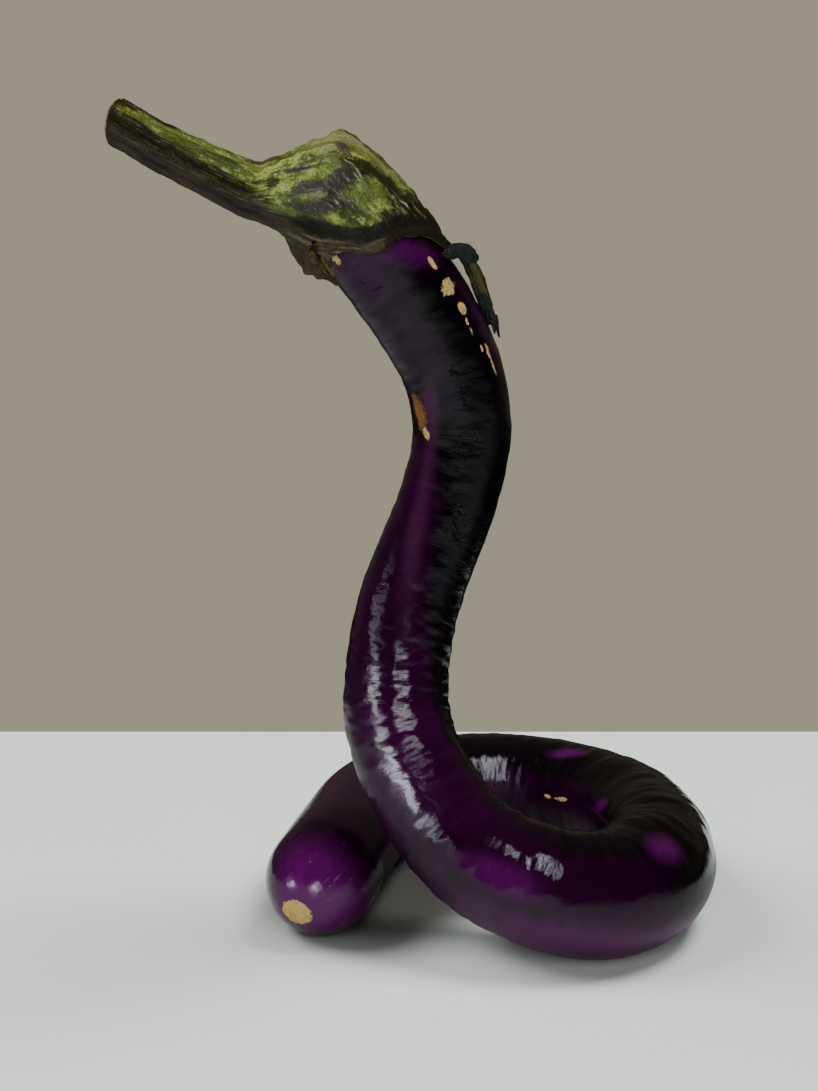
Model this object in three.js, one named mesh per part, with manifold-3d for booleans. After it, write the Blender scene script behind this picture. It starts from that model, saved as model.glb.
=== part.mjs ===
// A long, slim eggplant that grew in a coil, standing on its own loop.
// Units are millimetres, +Z is up, and the surface it stands on is z = 0.
// The fruit lies in one turn on the surface, then its neck rises to the calyx and the stalk.
import * as THREE from "three";
import { mergeVertices } from "three/addons/utils/BufferGeometryUtils.js";
import Module from "manifold-3d";

const wasm = await Module();
wasm.setup();

// ---- Driving dimensions ----------------------------------------------------

// The fruit's centreline and radius, from the blossom end to the end hidden in the calyx: x, y, z, radius.
// Where z is a little less than the radius, the fruit is pressed flat against the surface.
const FRUIT_ROUTE = [
  [-32.9, -44.6, 9.6, 14.7],
  [-26.8, -29.8, 13.9, 14.9],
  [-21.8, -8.3, 14.8, 15.3],
  [-15.2, 17, 15.9, 15.6],
  [0.6, 37.8, 16, 15.5],
  [24.5, 45.6, 15.3, 15.7],
  [46, 36.8, 15.1, 15.7],
  [61, 17, 15.9, 15.6],
  [65.4, -11, 16.2, 15.7],
  [59.5, -34, 15.7, 15.9],
  [44, -46, 15.1, 15.7],
  [28, -46.5, 18.2, 15.2],
  [12, -40, 24.6, 14.8],
  [0.5, -33.5, 37.5, 14.4],
  [-6.9, -26, 53.8, 14.2],
  [-6.8, -20, 71.6, 14],
  [-2.2, -15, 91, 13.7],
  [6.1, -12, 111.3, 13.4],
  [10.6, -11, 131.3, 13.3],
  [7.4, -11.5, 149, 13.6],
  [-1.3, -13, 165, 14],
  [-11.6, -14.5, 179.3, 14.3],
  [-22.5, -16, 193.5, 14.3],
];
const BLOSSOM_DOME = 15.5; // length of the rounding at the blossom end
const CALYX_DOME = 13; // length of the rounding under the calyx
const SCAR_RADIUS = 3.6; // the flat corky scar on the blossom end

// The outer skin of the stalk and of the calyx above the fruit, from the cut end towards the fruit:
// middle x, y, z, lean of its long axis in degrees, half its height, half its depth.
const STEM_ROUTE = [
  [-76.6, -31.5, 208.5, 69, 5.5, 5.2],
  [-67.2, -27.4, 203.4, 69, 5.6, 5.4],
  [-53.5, -21.8, 197.5, 67, 6.2, 6],
  [-45.1, -18.5, 194.5, 65, 7, 6.8],
  [-38, -17.5, 194.6, 73, 9.5, 9.2],
  [-31.5, -17, 194.4, 74, 12.9, 12.3],
  [-25.5, -16.5, 194.2, 73, 15.5, 14.6],
  [-20.3, -16, 190.4, 66, 15.4, 15.3],
];
const CALYX_FOOT = 3; // the row of STEM_ROUTE where the calyx takes over from the stalk
const CALYX_WALL = 1.3; // thickness where it hugs the fruit
const CALYX_HUG_FROM = 9; // where it starts to hug the fruit, measured from the fruit's hidden end
const CALYX_RIM = 12; // the shortest the calyx reaches, measured the same way
// Its lobes round the rim: direction and half-width in degrees, added reach, lift off the fruit.
// Direction 0 is the side the neck bows to, 90 is the front, 180 is under the stalk.
const CALYX_LOBES = [
  [10, 75, 18, 0.9],
  [85, 50, 6.5, 0.2],
  [180, 40, -2, 0.5],
  [235, 34, 7, 0.4],
  [300, 40, 10, 0.5],
];
// The lobe under the stalk hangs clear of the fruit as a thin flap: distance from the fruit's hidden end,
// the two directions it spans, distance from the fruit's centreline.
const FLAP = [
  [-7, 165, 200, 11],
  [-1, 160, 205, 16.4],
  [5, 154, 208, 18.6],
  [8.8, 153, 208, 19],
  [11, 155, 204, 18.2],
  [13.6, 160, 198, 17],
  [16.6, 170, 184, 15.8],
];
const FLAP_THICKNESS = 1.2;
// The withered tip of its longest lobe: x, y, z, half its thickness, half its width.
const WITHERED_LOBE = [
  [5.5, -17.5, 181.5, 1.6, 4],
  [9.8, -16, 178.6, 2.7, 4.6],
  [12.6, -14.5, 174.8, 2, 3.2],
  [14.4, -13.6, 170.6, 2, 3.3],
  [16.5, -13, 166.4, 1.8, 2.9],
  [18.3, -12.8, 162.2, 1.5, 2.5],
  [19.5, -12.6, 157.2, 0.7, 1.2],
];

// Long ridges that run down the stalk and on over the calyx: how many, turned by how many degrees, height.
const RIDGES = [
  [6, 20, 0.32],
  [9, 75, 0.26],
  [14, 10, 0.14],
];
const CUT_BULGE = 1.2; // how far the middle of the cut end stands out
const SEAM = 0.3; // space left between pieces that touch

// ---- Shared shape tools ----------------------------------------------------

const degrees = Math.PI / 180;

// A closed solid skinned over rings of equal length, closed at each end by a fan to a pole point.
function skin(rings, startPole, endPole) {
  const sides = rings[0].length;
  const points = [startPole, ...rings.flat(), endPole];
  const index = [];
  const at = (ring, side) => 1 + ring * sides + (side % sides);
  for (let side = 0; side < sides; side++) {
    index.push(0, at(0, side + 1), at(0, side));
    for (let ring = 0; ring < rings.length - 1; ring++) {
      const [a, b] = [at(ring, side), at(ring, side + 1)];
      const [c, d] = [at(ring + 1, side), at(ring + 1, side + 1)];
      index.push(a, b, c, b, d, c);
    }
    const last = rings.length - 1;
    index.push(at(last, side), at(last, side + 1), points.length - 1);
  }
  return new THREE.BufferGeometry().setFromPoints(points).setIndex(index);
}

// A smooth curve through rows of numbers: t runs from 0 at the first row to 1 at the last.
function rowAt(rows, t) {
  const f = Math.min(Math.max(t, 0), 1) * (rows.length - 1);
  const i = Math.min(Math.floor(f), rows.length - 2);
  const row = (k) => rows[Math.min(Math.max(k, 0), rows.length - 1)];
  return rows[i].map((_, column) => {
    const [a, b, c, d] = [row(i - 1)[column], row(i)[column], row(i + 1)[column], row(i + 2)[column]];
    const u = f - i;
    return b + 0.5 * u * (c - a + u * (2 * a - 5 * b + 4 * c - d + u * (3 * (b - c) + d - a)));
  });
}

// How far long ridges lift a surface at an angle round it.
function ridgeHeight(angle) {
  return RIDGES.reduce((sum, [count, turn, height]) => sum + height * Math.cos(count * angle + turn * degrees), 0);
}

function mesh(name, geometry, color, roughness) {
  const solid = new THREE.Mesh(geometry, new THREE.MeshStandardMaterial({ color, roughness, metalness: 0 }));
  solid.name = name;
  return solid;
}

function toManifold(geometry) {
  const plain = mergeVertices(geometry.clone().deleteAttribute("normal").deleteAttribute("uv"), 1e-4);
  const vertProperties = new Float32Array(plain.attributes.position.array);
  const triVerts = new Uint32Array(plain.index.array);
  return new wasm.Manifold(new wasm.Mesh({ numProp: 3, vertProperties, triVerts }));
}

function fromManifold(solid) {
  const { vertProperties, triVerts } = solid.getMesh();
  const geometry = new THREE.BufferGeometry();
  geometry.setAttribute("position", new THREE.BufferAttribute(new Float32Array(vertProperties), 3));
  geometry.setIndex(Array.from(triVerts));
  return geometry;
}

// ---- Fruit -----------------------------------------------------------------

const FRUIT_SIDES = 32;
const FRUIT_RINGS = 100;

const spine = new THREE.CatmullRomCurve3(FRUIT_ROUTE.map(([x, y, z]) => new THREE.Vector3(x, y, z)));
spine.arcLengthDivisions = 2000;
const spineLength = spine.getLength();
const fruitRadii = FRUIT_ROUTE.map((knot) => [knot[3]]);

// Share of the full radius left at a distance from the tip of a dome.
function domeShare(distance, depth) {
  if (distance >= depth) return 1;
  const q = 1 - distance / depth;
  return Math.sqrt(Math.max(0, 1 - q ** 2.2));
}

// The fruit's section at a distance along its centreline: middle, direction, two axes and radius.
function fruitSection(distance) {
  const u = Math.min(distance / spineLength, 1);
  const beyond = Math.max(distance - spineLength, 0);
  const along = spine.getTangentAt(u);
  const [full] = rowAt(fruitRadii, spine.getUtoTmapping(u));
  const ends = domeShare(distance, BLOSSOM_DOME) * domeShare(spineLength - distance, CALYX_DOME);
  return { middle: spine.getPointAt(u).addScaledVector(along, beyond), along, radius: full * ends };
}

// Carries two axes along the centreline without letting them twist.
function fruitSections(distances) {
  let side = new THREE.Vector3(0, 0, 1);
  return distances.map((distance) => {
    const section = fruitSection(distance);
    side = side.clone().addScaledVector(section.along, -side.dot(section.along)).normalize();
    return { ...section, side, across: new THREE.Vector3().crossVectors(section.along, side) };
  });
}

// Ring spacings: close together in the two domes, even between them.
function fruitDistances() {
  const shares = [0, 0.035, 0.1, 0.2, 0.33, 0.48, 0.65, 0.82];
  const flat = BLOSSOM_DOME * (1 - (1 - (SCAR_RADIUS / FRUIT_ROUTE[0][3]) ** 2) ** (1 / 2.2));
  const start = shares.map((share) => flat + (BLOSSOM_DOME - flat) * share);
  const end = shares.map((share) => spineLength - 0.1 - (CALYX_DOME - 0.1) * share).reverse();
  const even = Array.from({ length: FRUIT_RINGS }, (_, i) => i / (FRUIT_RINGS - 1));
  const middle = even.map((share) => BLOSSOM_DOME + (spineLength - CALYX_DOME - BLOSSOM_DOME) * share);
  return [...start, ...middle, ...end];
}

function fruitGeometry() {
  const sections = fruitSections(fruitDistances());
  const rings = sections.map(({ middle, side, across, radius }) =>
    Array.from({ length: FRUIT_SIDES }, (_, i) => {
      const angle = ((i + 0.5) / FRUIT_SIDES) * 2 * Math.PI;
      const point = middle.clone().addScaledVector(side, Math.cos(angle) * radius);
      point.addScaledVector(across, Math.sin(angle) * radius);
      point.z = Math.max(point.z, 0);
      return point;
    }),
  );
  return skin(rings, sections[0].middle, spine.getPointAt(1));
}

// The fruit's skin moved outwards, used to hollow the calyx to fit.
function grown(geometry, distance) {
  const swollen = geometry.clone();
  swollen.computeVertexNormals();
  const [position, normal] = [swollen.attributes.position, swollen.attributes.normal];
  for (let i = 0; i < position.count; i++) {
    const point = new THREE.Vector3().fromBufferAttribute(position, i);
    point.addScaledVector(new THREE.Vector3().fromBufferAttribute(normal, i), distance);
    position.setXYZ(i, point.x, point.y, point.z);
  }
  return swollen;
}

// ---- Calyx -----------------------------------------------------------------

const CALYX_SIDES = 48;

// A point on the stalk or the free part of the calyx: row counts along STEM_ROUTE, ridge scales the ridges.
function stemPoint(row, angle, ridge) {
  const last = STEM_ROUTE.length - 1;
  const [x, y, z, lean, half, depth] = rowAt(STEM_ROUTE, row / last);
  const [ahead, behind] = [rowAt(STEM_ROUTE, (row + 0.1) / last), rowAt(STEM_ROUTE, (row - 0.1) / last)];
  const along = new THREE.Vector3(ahead[0] - behind[0], ahead[1] - behind[1], ahead[2] - behind[2]).normalize();
  const up = new THREE.Vector3(Math.cos(lean * degrees), 0, Math.sin(lean * degrees));
  const front = new THREE.Vector3().crossVectors(up, along).normalize();
  if (front.y > 0) front.negate();
  const lift = ridge * ridgeHeight(angle);
  return new THREE.Vector3(x, y, z)
    .addScaledVector(up, Math.cos(angle) * (half + lift))
    .addScaledVector(front, Math.sin(angle) * (depth + lift));
}

// A point round the fruit's centreline at a distance from its hidden end.
function roundFruit(fromEnd, angle, out) {
  const { middle, along } = fruitSection(spineLength - fromEnd);
  const back = new THREE.Vector3(0, 1, 0);
  const up = new THREE.Vector3().crossVectors(back, along).normalize();
  if (up.x < 0) up.negate();
  const front = new THREE.Vector3().crossVectors(up, along).normalize();
  if (front.y > 0) front.negate();
  return middle.addScaledVector(up, Math.cos(angle) * out).addScaledVector(front, Math.sin(angle) * out);
}

// A point over the fruit's skin.
function overFruit(fromEnd, angle, lift) {
  return roundFruit(fromEnd, angle, fruitSection(spineLength - fromEnd).radius + lift);
}

// How far the rim reaches and how far it stands off the fruit at an angle.
function rimAt(angle) {
  const rim = { reach: CALYX_RIM, lift: 0 };
  for (const [direction, halfWidth, reach, lift] of CALYX_LOBES) {
    const off = Math.abs(((angle / degrees - direction + 540) % 360) - 180);
    if (off > halfWidth) continue;
    const share = Math.cos((off / halfWidth) * 90 * degrees) ** 2;
    rim.reach += reach * share;
    rim.lift += lift * share;
  }
  return rim;
}

function calyxRings() {
  const [freeRings, hugRings] = [12, 9];
  const profiles = Array.from({ length: CALYX_SIDES }, (_, i) => {
    const angle = (i / CALYX_SIDES) * 2 * Math.PI;
    const rim = rimAt(angle);
    const knots = [0, 1, 2, 3].map((row) => stemPoint(CALYX_FOOT + row, angle, 1 + row / 3));
    const hugSteps = [0, 0.33, 0.66, 1];
    const hug = hugSteps.map((t) => {
      const fromEnd = CALYX_HUG_FROM + (rim.reach - CALYX_HUG_FROM) * t;
      const lift = CALYX_WALL + SEAM + rim.lift * (0.4 + 0.6 * t) + 0.5 * (1 - t) * ridgeHeight(angle);
      return overFruit(fromEnd, angle, lift);
    });
    return new THREE.CatmullRomCurve3([...knots, ...hug]);
  });
  const count = freeRings + hugRings;
  return Array.from({ length: count + 1 }, (_, k) => profiles.map((profile) => profile.getPoint(k / count)));
}

function flapGeometry() {
  const [rings, steps] = [16, 8];
  const loops = Array.from({ length: rings + 1 }, (_, k) => {
    const [fromEnd, start, stop, out] = rowAt(FLAP, k / rings);
    const arc = (shift) =>
      Array.from({ length: steps + 1 }, (_, i) =>
        roundFruit(fromEnd, (start + ((stop - start) * i) / steps) * degrees, out + shift * FLAP_THICKNESS),
      );
    return [...arc(0.5), ...arc(-0.5).reverse()];
  });
  const pole = (fromEnd, start, stop, out) => roundFruit(fromEnd, ((start + stop) / 2) * degrees, out);
  return skin(loops, pole(...FLAP[0]), pole(...FLAP[FLAP.length - 1]));
}

function witheredLobeGeometry() {
  const [rings, sides] = [18, 12];
  const ringPoints = Array.from({ length: rings + 1 }, (_, k) => {
    const t = k / rings;
    const [x, y, z, thick, wide] = rowAt(WITHERED_LOBE, t);
    const [ahead, behind] = [rowAt(WITHERED_LOBE, t + 0.02), rowAt(WITHERED_LOBE, t - 0.02)];
    const along = new THREE.Vector3(ahead[0] - behind[0], ahead[1] - behind[1], ahead[2] - behind[2]).normalize();
    const wideAxis = new THREE.Vector3(0, 1, 0).addScaledVector(along, -along.y).normalize();
    const thickAxis = new THREE.Vector3().crossVectors(wideAxis, along);
    return Array.from({ length: sides }, (_, i) => {
      const angle = (i / sides) * 2 * Math.PI;
      return new THREE.Vector3(x, y, z)
        .addScaledVector(thickAxis, Math.cos(angle) * thick)
        .addScaledVector(wideAxis, Math.sin(angle) * wide);
    });
  });
  const [first] = WITHERED_LOBE;
  const last = WITHERED_LOBE[WITHERED_LOBE.length - 1];
  return skin(ringPoints, new THREE.Vector3(...first.slice(0, 3)), new THREE.Vector3(...last.slice(0, 3)));
}

function calyxGeometry(fruitSkin) {
  const rings = calyxRings();
  const foot = new THREE.Vector3(...STEM_ROUTE[CALYX_FOOT].slice(0, 3));
  const inside = fruitSection(spineLength - CALYX_RIM).middle;
  const body = toManifold(skin(rings, foot, inside));
  const hollow = toManifold(grown(fruitSkin, SEAM));
  const lobes = toManifold(witheredLobeGeometry()).add(toManifold(flapGeometry()));
  return fromManifold(body.add(lobes).subtract(hollow));
}

// ---- Stalk -----------------------------------------------------------------

const STALK_SIDES = 40;

function stalkGeometry() {
  const count = 14;
  const end = CALYX_FOOT - SEAM / 9;
  const rings = Array.from({ length: count + 1 }, (_, k) =>
    Array.from({ length: STALK_SIDES }, (_, i) =>
      stemPoint((end * k) / count, (i / STALK_SIDES) * 2 * Math.PI, 1),
    ),
  );
  const middle = (ring) => ring.reduce((sum, p) => sum.add(p), new THREE.Vector3()).divideScalar(ring.length);
  const cut = middle(rings[0]);
  cut.addScaledVector(middle(rings[1]).sub(cut).normalize(), -CUT_BULGE);
  return skin(rings, cut, middle(rings[count]));
}

// ---- Assembly --------------------------------------------------------------

const fruitSkin = fruitGeometry();
const eggplant = new THREE.Group();
eggplant.add(mesh("fruit", fruitSkin, 0x2a0a33, 0.25));
eggplant.add(mesh("calyx", calyxGeometry(fruitSkin), 0x6a7d33, 0.6));
eggplant.add(mesh("stalk", stalkGeometry(), 0x5d6b34, 0.6));

// Put the middle of its outline over the origin.
const outline = new THREE.Box3().setFromObject(eggplant);
const middle = outline.getCenter(new THREE.Vector3());
for (const piece of eggplant.children) piece.geometry.translate(-middle.x, -middle.y, 0);

export default eggplant;
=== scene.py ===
# A long, slim eggplant that grew in a coil: one turn lies on the table and the neck stands up from it.
# Sizes in the dictionaries are millimetres and degrees; the finished model is in metres.
import math

import bpy
from mathutils import Matrix, Vector, noise


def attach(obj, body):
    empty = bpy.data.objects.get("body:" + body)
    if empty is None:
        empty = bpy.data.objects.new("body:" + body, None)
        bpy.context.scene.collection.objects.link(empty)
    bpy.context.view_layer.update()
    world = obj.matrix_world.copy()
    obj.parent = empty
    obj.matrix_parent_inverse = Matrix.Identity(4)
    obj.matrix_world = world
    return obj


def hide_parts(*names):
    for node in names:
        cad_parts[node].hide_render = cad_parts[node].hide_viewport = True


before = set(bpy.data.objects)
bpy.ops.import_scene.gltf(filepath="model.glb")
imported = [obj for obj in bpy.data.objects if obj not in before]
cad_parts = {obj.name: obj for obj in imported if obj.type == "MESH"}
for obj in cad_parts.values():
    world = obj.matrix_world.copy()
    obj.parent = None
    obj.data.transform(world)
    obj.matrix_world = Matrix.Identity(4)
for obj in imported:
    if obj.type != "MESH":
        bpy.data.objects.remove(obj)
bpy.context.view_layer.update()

mm = 0.001


# Working helpers

def clearSelection():
    if bpy.context.mode != "OBJECT":
        bpy.ops.object.mode_set(mode="OBJECT")
    bpy.ops.object.select_all(action="DESELECT")


def pick(piece):  # the only one selected
    clearSelection()
    piece.select_set(True)
    bpy.context.view_layer.objects.active = piece


def openMesh(piece, action="SELECT", kind="VERT"):  # into edit mode with everything selected, or nothing
    pick(piece)
    bpy.ops.object.mode_set(mode="EDIT")
    bpy.ops.mesh.select_mode(type=kind)
    bpy.ops.mesh.select_all(action=action)


def closeMesh():
    bpy.ops.object.mode_set(mode="OBJECT")


def named(name):  # names what was just added, and puts its place into its mesh
    piece = bpy.context.object
    piece.name = piece.data.name = name
    bpy.ops.object.transform_apply(location=True, rotation=True, scale=True)
    return piece


def startRing(name, sides, radius, middle, turn=(0, 0, 0)):  # a disc, left in edit mode with its rim selected
    bpy.ops.mesh.primitive_circle_add(vertices=sides, radius=radius * mm, fill_type="TRIFAN", location=middle * mm,
                                      rotation=turn)
    piece = named(name)
    openMesh(piece)
    bpy.ops.mesh.region_to_loop()
    return piece


def closeToPoint():  # the last ring, drawn in to a point
    bpy.ops.mesh.extrude_region_move()
    bpy.ops.mesh.merge(type="CENTER")
    closeMesh()


def finishWith(piece, kind, **settings):  # a modifier, applied
    pick(piece)
    modifier = piece.modifiers.new(kind.title(), kind)
    for key, value in settings.items():
        setattr(modifier, key, value)
    bpy.ops.object.modifier_apply(modifier=modifier.name)


def subdivide(piece, levels):
    finishWith(piece, "SUBSURF", levels=levels, render_levels=levels)


def rightWayOut(piece):
    openMesh(piece)
    bpy.ops.mesh.normals_make_consistent(inside=False)
    closeMesh()


def choose(piece, kind, test):  # into edit mode with only the points or faces that pass the test selected
    openMesh(piece, "DESELECT", kind)
    closeMesh()
    for item in piece.data.vertices if kind == "VERT" else piece.data.polygons:
        item.select = test(item)
    bpy.ops.object.mode_set(mode="EDIT")


def storeVectors(piece, name, vectors):
    layer = piece.data.attributes.new(name, "FLOAT_VECTOR", "POINT")
    layer.data.foreach_set("vector", [number for vector in vectors for number in vector])


def readVectors(piece, name):
    return [Vector(item.vector) for item in piece.data.attributes[name].data]


def liftSkin(piece, heights):  # moves each point out along the skin by its own height in millimetres
    normals = [Vector(item.vector) for item in piece.data.vertex_normals]
    for vertex, normal, height in zip(piece.data.vertices, normals, heights):
        vertex.co += normal * height * mm


def facing(side, out):  # the turn of a flat shape whose x lies along side and whose face looks out
    return Matrix((side, out.cross(side), out)).transposed().to_euler()


def stepAt(count, t):  # which step of a row t falls in, from 0 to 1, and how far into it
    f = min(max(t, 0), 1) * (count - 1)
    i = min(int(f), count - 2)
    return i, f - i


def curveAt(points, t):  # a smooth curve through points, evened out by their spacing
    i, u = stepAt(len(points), t)
    b, c = points[i], points[i + 1]
    a = points[i - 1] if i > 0 else 2 * b - c
    d = points[i + 2] if i + 2 < len(points) else 2 * c - b
    before, here, after = ((q.xyz - p.xyz).length ** 0.5 for p, q in ((a, b), (b, c), (c, d)))
    leave = ((b - a) / before - (c - a) / (before + here) + (c - b) / here) * here
    arrive = ((c - b) / here - (d - b) / (here + after) + (d - c) / after) * here
    return b + u * leave + u * u * (3 * (c - b) - 2 * leave - arrive) + u ** 3 * (2 * (b - c) + leave + arrive)


def rowAt(rows, t):  # the numbers of a smooth row between rows
    i, u = stepAt(len(rows), t)
    a, b, c, d = (rows[min(max(i + k, 0), len(rows) - 1)] for k in (-1, 0, 1, 2))
    return [q + 0.5 * u * (r - p + u * (2 * p - 5 * q + 4 * r - s + u * (3 * (q - r) + s - p)))
            for p, q, r, s in zip(a, b, c, d)]


def lineAt(line, x):  # height of a drawn line over x
    if x <= line[0][0]:
        return line[0][1]
    for (x0, z0), (x1, z1) in zip(line, line[1:]):
        if x <= x1:
            return z0 + (z1 - z0) * (x - x0) / (x1 - x0)
    return line[-1][1]


def easeIn(value, start, stop):  # 0 before start, 1 after stop
    share = min(max((value - start) / (stop - start), 0), 1)
    return share * share * (3 - 2 * share)


def bell(offset, width):
    return math.exp(-(offset / width) ** 2)


def wobble(x, y, z, seed):
    return noise.noise(Vector((x + seed, y - seed, z + 3.1 * seed)))


def layered(layers, x, y, z):  # each layer has its height, how many there are round, how many along, and its seed
    return sum(height * wobble(x * around, y * around, z * along, seed) for height, around, along, seed in layers)


def frontOf(up, along):  # square to both, on the front side
    front = up.cross(along).normalized()
    if front.y > 0:
        front.negate()
    return front


# Fruit

fruit = {
    # x, y, z and radius along the middle, from the blossom end to the end inside the calyx
    "route": [
        (-32.9, -44.6, 9.6, 14.7), (-26.8, -29.8, 13.9, 14.9), (-21.8, -8.3, 14.8, 15.3), (-15.2, 17, 15.9, 15.6),
        (0.6, 37.8, 16, 15.5), (24.5, 45.6, 15.3, 15.7), (46, 36.8, 15.1, 15.7), (61, 17, 15.9, 15.6),
        (65.4, -11, 16.2, 15.7), (59.5, -34, 15.7, 15.9), (44, -46, 15.1, 15.7), (28, -46.5, 18.2, 15.2),
        (12, -40, 24.6, 14.8), (0.5, -33.5, 37.5, 14.4), (-6.9, -26, 53.8, 14.2), (-6.8, -20, 71.6, 14),
        (-2.2, -15, 91, 13.7), (6.1, -12, 111.3, 13.4), (10.6, -11, 131.3, 13.3), (7.4, -11.5, 149, 13.6),
        (-1.3, -13, 165, 14), (-11.6, -14.5, 179.3, 14.3), (-22.5, -16, 193.5, 14.3),
    ],
    "centring": (-1.05, 0.7),
    "coilMiddle": (22, -2),
    "sides": 24,
    "ringStep": 2.3,
    "fineSteps": 6000,  # how finely the route is walked before it is evened out
    "relax": 24,
    "blossomDome": 15.5,  # how far each end is rounded over
    "hiddenDome": 13.0,
    "domePower": 2.2,
    "domeRings": (0.04, 0.1, 0.19, 0.31, 0.45, 0.62, 0.8),
    "scarRadius": 3.6,
    "wayUnit": 14.5,  # the skin counts its length in these, so patterns are as long as they are wide
}


def evenPath(route, relax):  # points a millimetre apart along the middle, with the kinks relaxed out
    shift = Vector((*fruit["centring"], 0, 0))
    knots = [Vector(row) + shift for row in route]
    fine = [curveAt(knots, i / fruit["fineSteps"]) for i in range(fruit["fineSteps"] + 1)]
    path, travelled = [fine[0]], 0.0
    for before, after in zip(fine, fine[1:]):
        travelled += (after - before).xyz.length
        if travelled >= len(path):
            path.append(after)
    for _ in range(relax):
        middle = [(a + 2 * b + c) / 4 for a, b, c in zip(path, path[1:], path[2:])]
        path = [path[0], *middle, path[-1]]
    return path


fruitPath = evenPath(fruit["route"], fruit["relax"])
fruitLength = len(fruitPath) - 1


def domeShare(distance, depth):
    if distance >= depth:
        return 1
    return math.sqrt(max(0, 1 - (1 - distance / depth) ** fruit["domePower"]))


def fruitSection(distance):  # middle, direction and radius; it runs straight on past the hidden end
    inside = min(max(distance, 0), fruitLength - 0.001)
    i = int(inside)
    a, b = fruitPath[i], fruitPath[i + 1]
    before, after = fruitPath[max(i - 1, 0)], fruitPath[min(i + 2, fruitLength)]
    share = inside - i
    along = ((b - before).xyz.normalized() * (1 - share) + (after - a).xyz.normalized() * share).normalized()
    here = a.lerp(b, share)
    ends = domeShare(distance, fruit["blossomDome"]) * domeShare(fruitLength - distance, fruit["hiddenDome"])
    return here.xyz + along * (distance - inside), along, here.w * ends


def ringDistances():
    dome, power, tipRadius = fruit["blossomDome"], fruit["domePower"], fruit["route"][0][3]
    flat = dome * (1 - (1 - (fruit["scarRadius"] / tipRadius) ** 2) ** (1 / power))
    start = [flat] + [flat + (dome - flat) * share for share in fruit["domeRings"]]
    end = [fruitLength - 0.15] + [fruitLength - fruit["hiddenDome"] * share for share in fruit["domeRings"]]
    first, last = dome, fruitLength - fruit["hiddenDome"]
    count = round((last - first) / fruit["ringStep"])
    return start + [first + (last - first) * i / count for i in range(count + 1)] + end[::-1]


def growFruit():  # one ring, pulled along the route step by step
    distances = ringDistances()
    swell = 6 / (4 + 2 * math.cos(2 * math.pi / fruit["sides"]))  # what the smoothing takes off
    middle, along, radius = fruitSection(distances[0])
    side = (Vector((0, 0, 1)) - along * along.z).normalized()
    piece = startRing("fruit_skin", fruit["sides"], radius * swell, middle, facing(side, along))
    for distance in distances[1:]:
        newMiddle, newAlong, newRadius = fruitSection(distance)
        centre = newMiddle * mm
        bpy.ops.mesh.extrude_region_move(TRANSFORM_OT_translate={"value": (newMiddle - middle) * mm})
        for axis, angle in zip("XYZ", along.rotation_difference(newAlong).to_euler("XYZ")):
            bpy.ops.transform.rotate(value=-angle, orient_axis=axis, orient_type="GLOBAL", center_override=centre)
        grow = newRadius / radius
        bpy.ops.transform.resize(value=(grow, grow, grow), center_override=centre)
        middle, along, radius = newMiddle, newAlong, newRadius
    closeToPoint()
    wayAlongSkin(piece, distances)
    rightWayOut(piece)
    subdivide(piece, 2)
    return piece


def wayAlongSkin(piece, distances):  # round the skin as cosine and sine, and the distance along in the skin's own unit
    unit = fruit["wayUnit"]
    ways = [(0, 0, distances[0] / unit)]
    for distance in distances:
        for side in range(fruit["sides"]):
            angle = math.pi / 2 + 2 * math.pi * side / fruit["sides"]
            ways.append((math.cos(angle), math.sin(angle), distance / unit))
    storeVectors(piece, "skinWay", ways + [(0, 0, distances[-1] / unit)])


skinRelief = {
    # height, how many round, length of one along, seed
    "lumps": [(0.24, 0.9, 14, 5.3)],
    "neckLumps": [(0.24, 1.5, 6.5, 3.8)],
    "ripples": [(1, 2.4, 3.2, 1.7), (0.55, 5, 1.5, 2.9)],
    "folds": [(1, 1.1, 6.6, 8.1), (0.2, 2.2, 2.8, 4.4)],
    # where each begins and is full, along the fruit from the blossom end
    "blossomEnd": (4, 22),
    "hiddenEnd": (2, 10),  # counted back from that end
    "neckLumpsFrom": (225, 262),
    "ripplesFrom": (228, 270),
    "coilFrom": (105, 150),
    "coilEnd": 255,
    "coilFade": 30,
    "frontFrom": (180, 205),
    # and by height, by depth and by distance from the middle of the coil
    "neckHeight": (75, 100),
    "frontHeight": (18, 26),
    "backDepth": (12, 26),
    "innerSide": (44, 66),
    # how strong each is
    "neckRipple": 0.14,
    "lowNeckRipple": 0.18,
    "foldHeight": 0.46,
    "outerFold": 0.2,
    "innerRipple": 0.2,
    "frontRipple": 0.3,
}


def skinLayers(kind, way, distance):
    return sum(height * wobble(way.x * around, way.y * around, distance / length, seed)
               for height, around, length, seed in skinRelief[kind])


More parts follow.
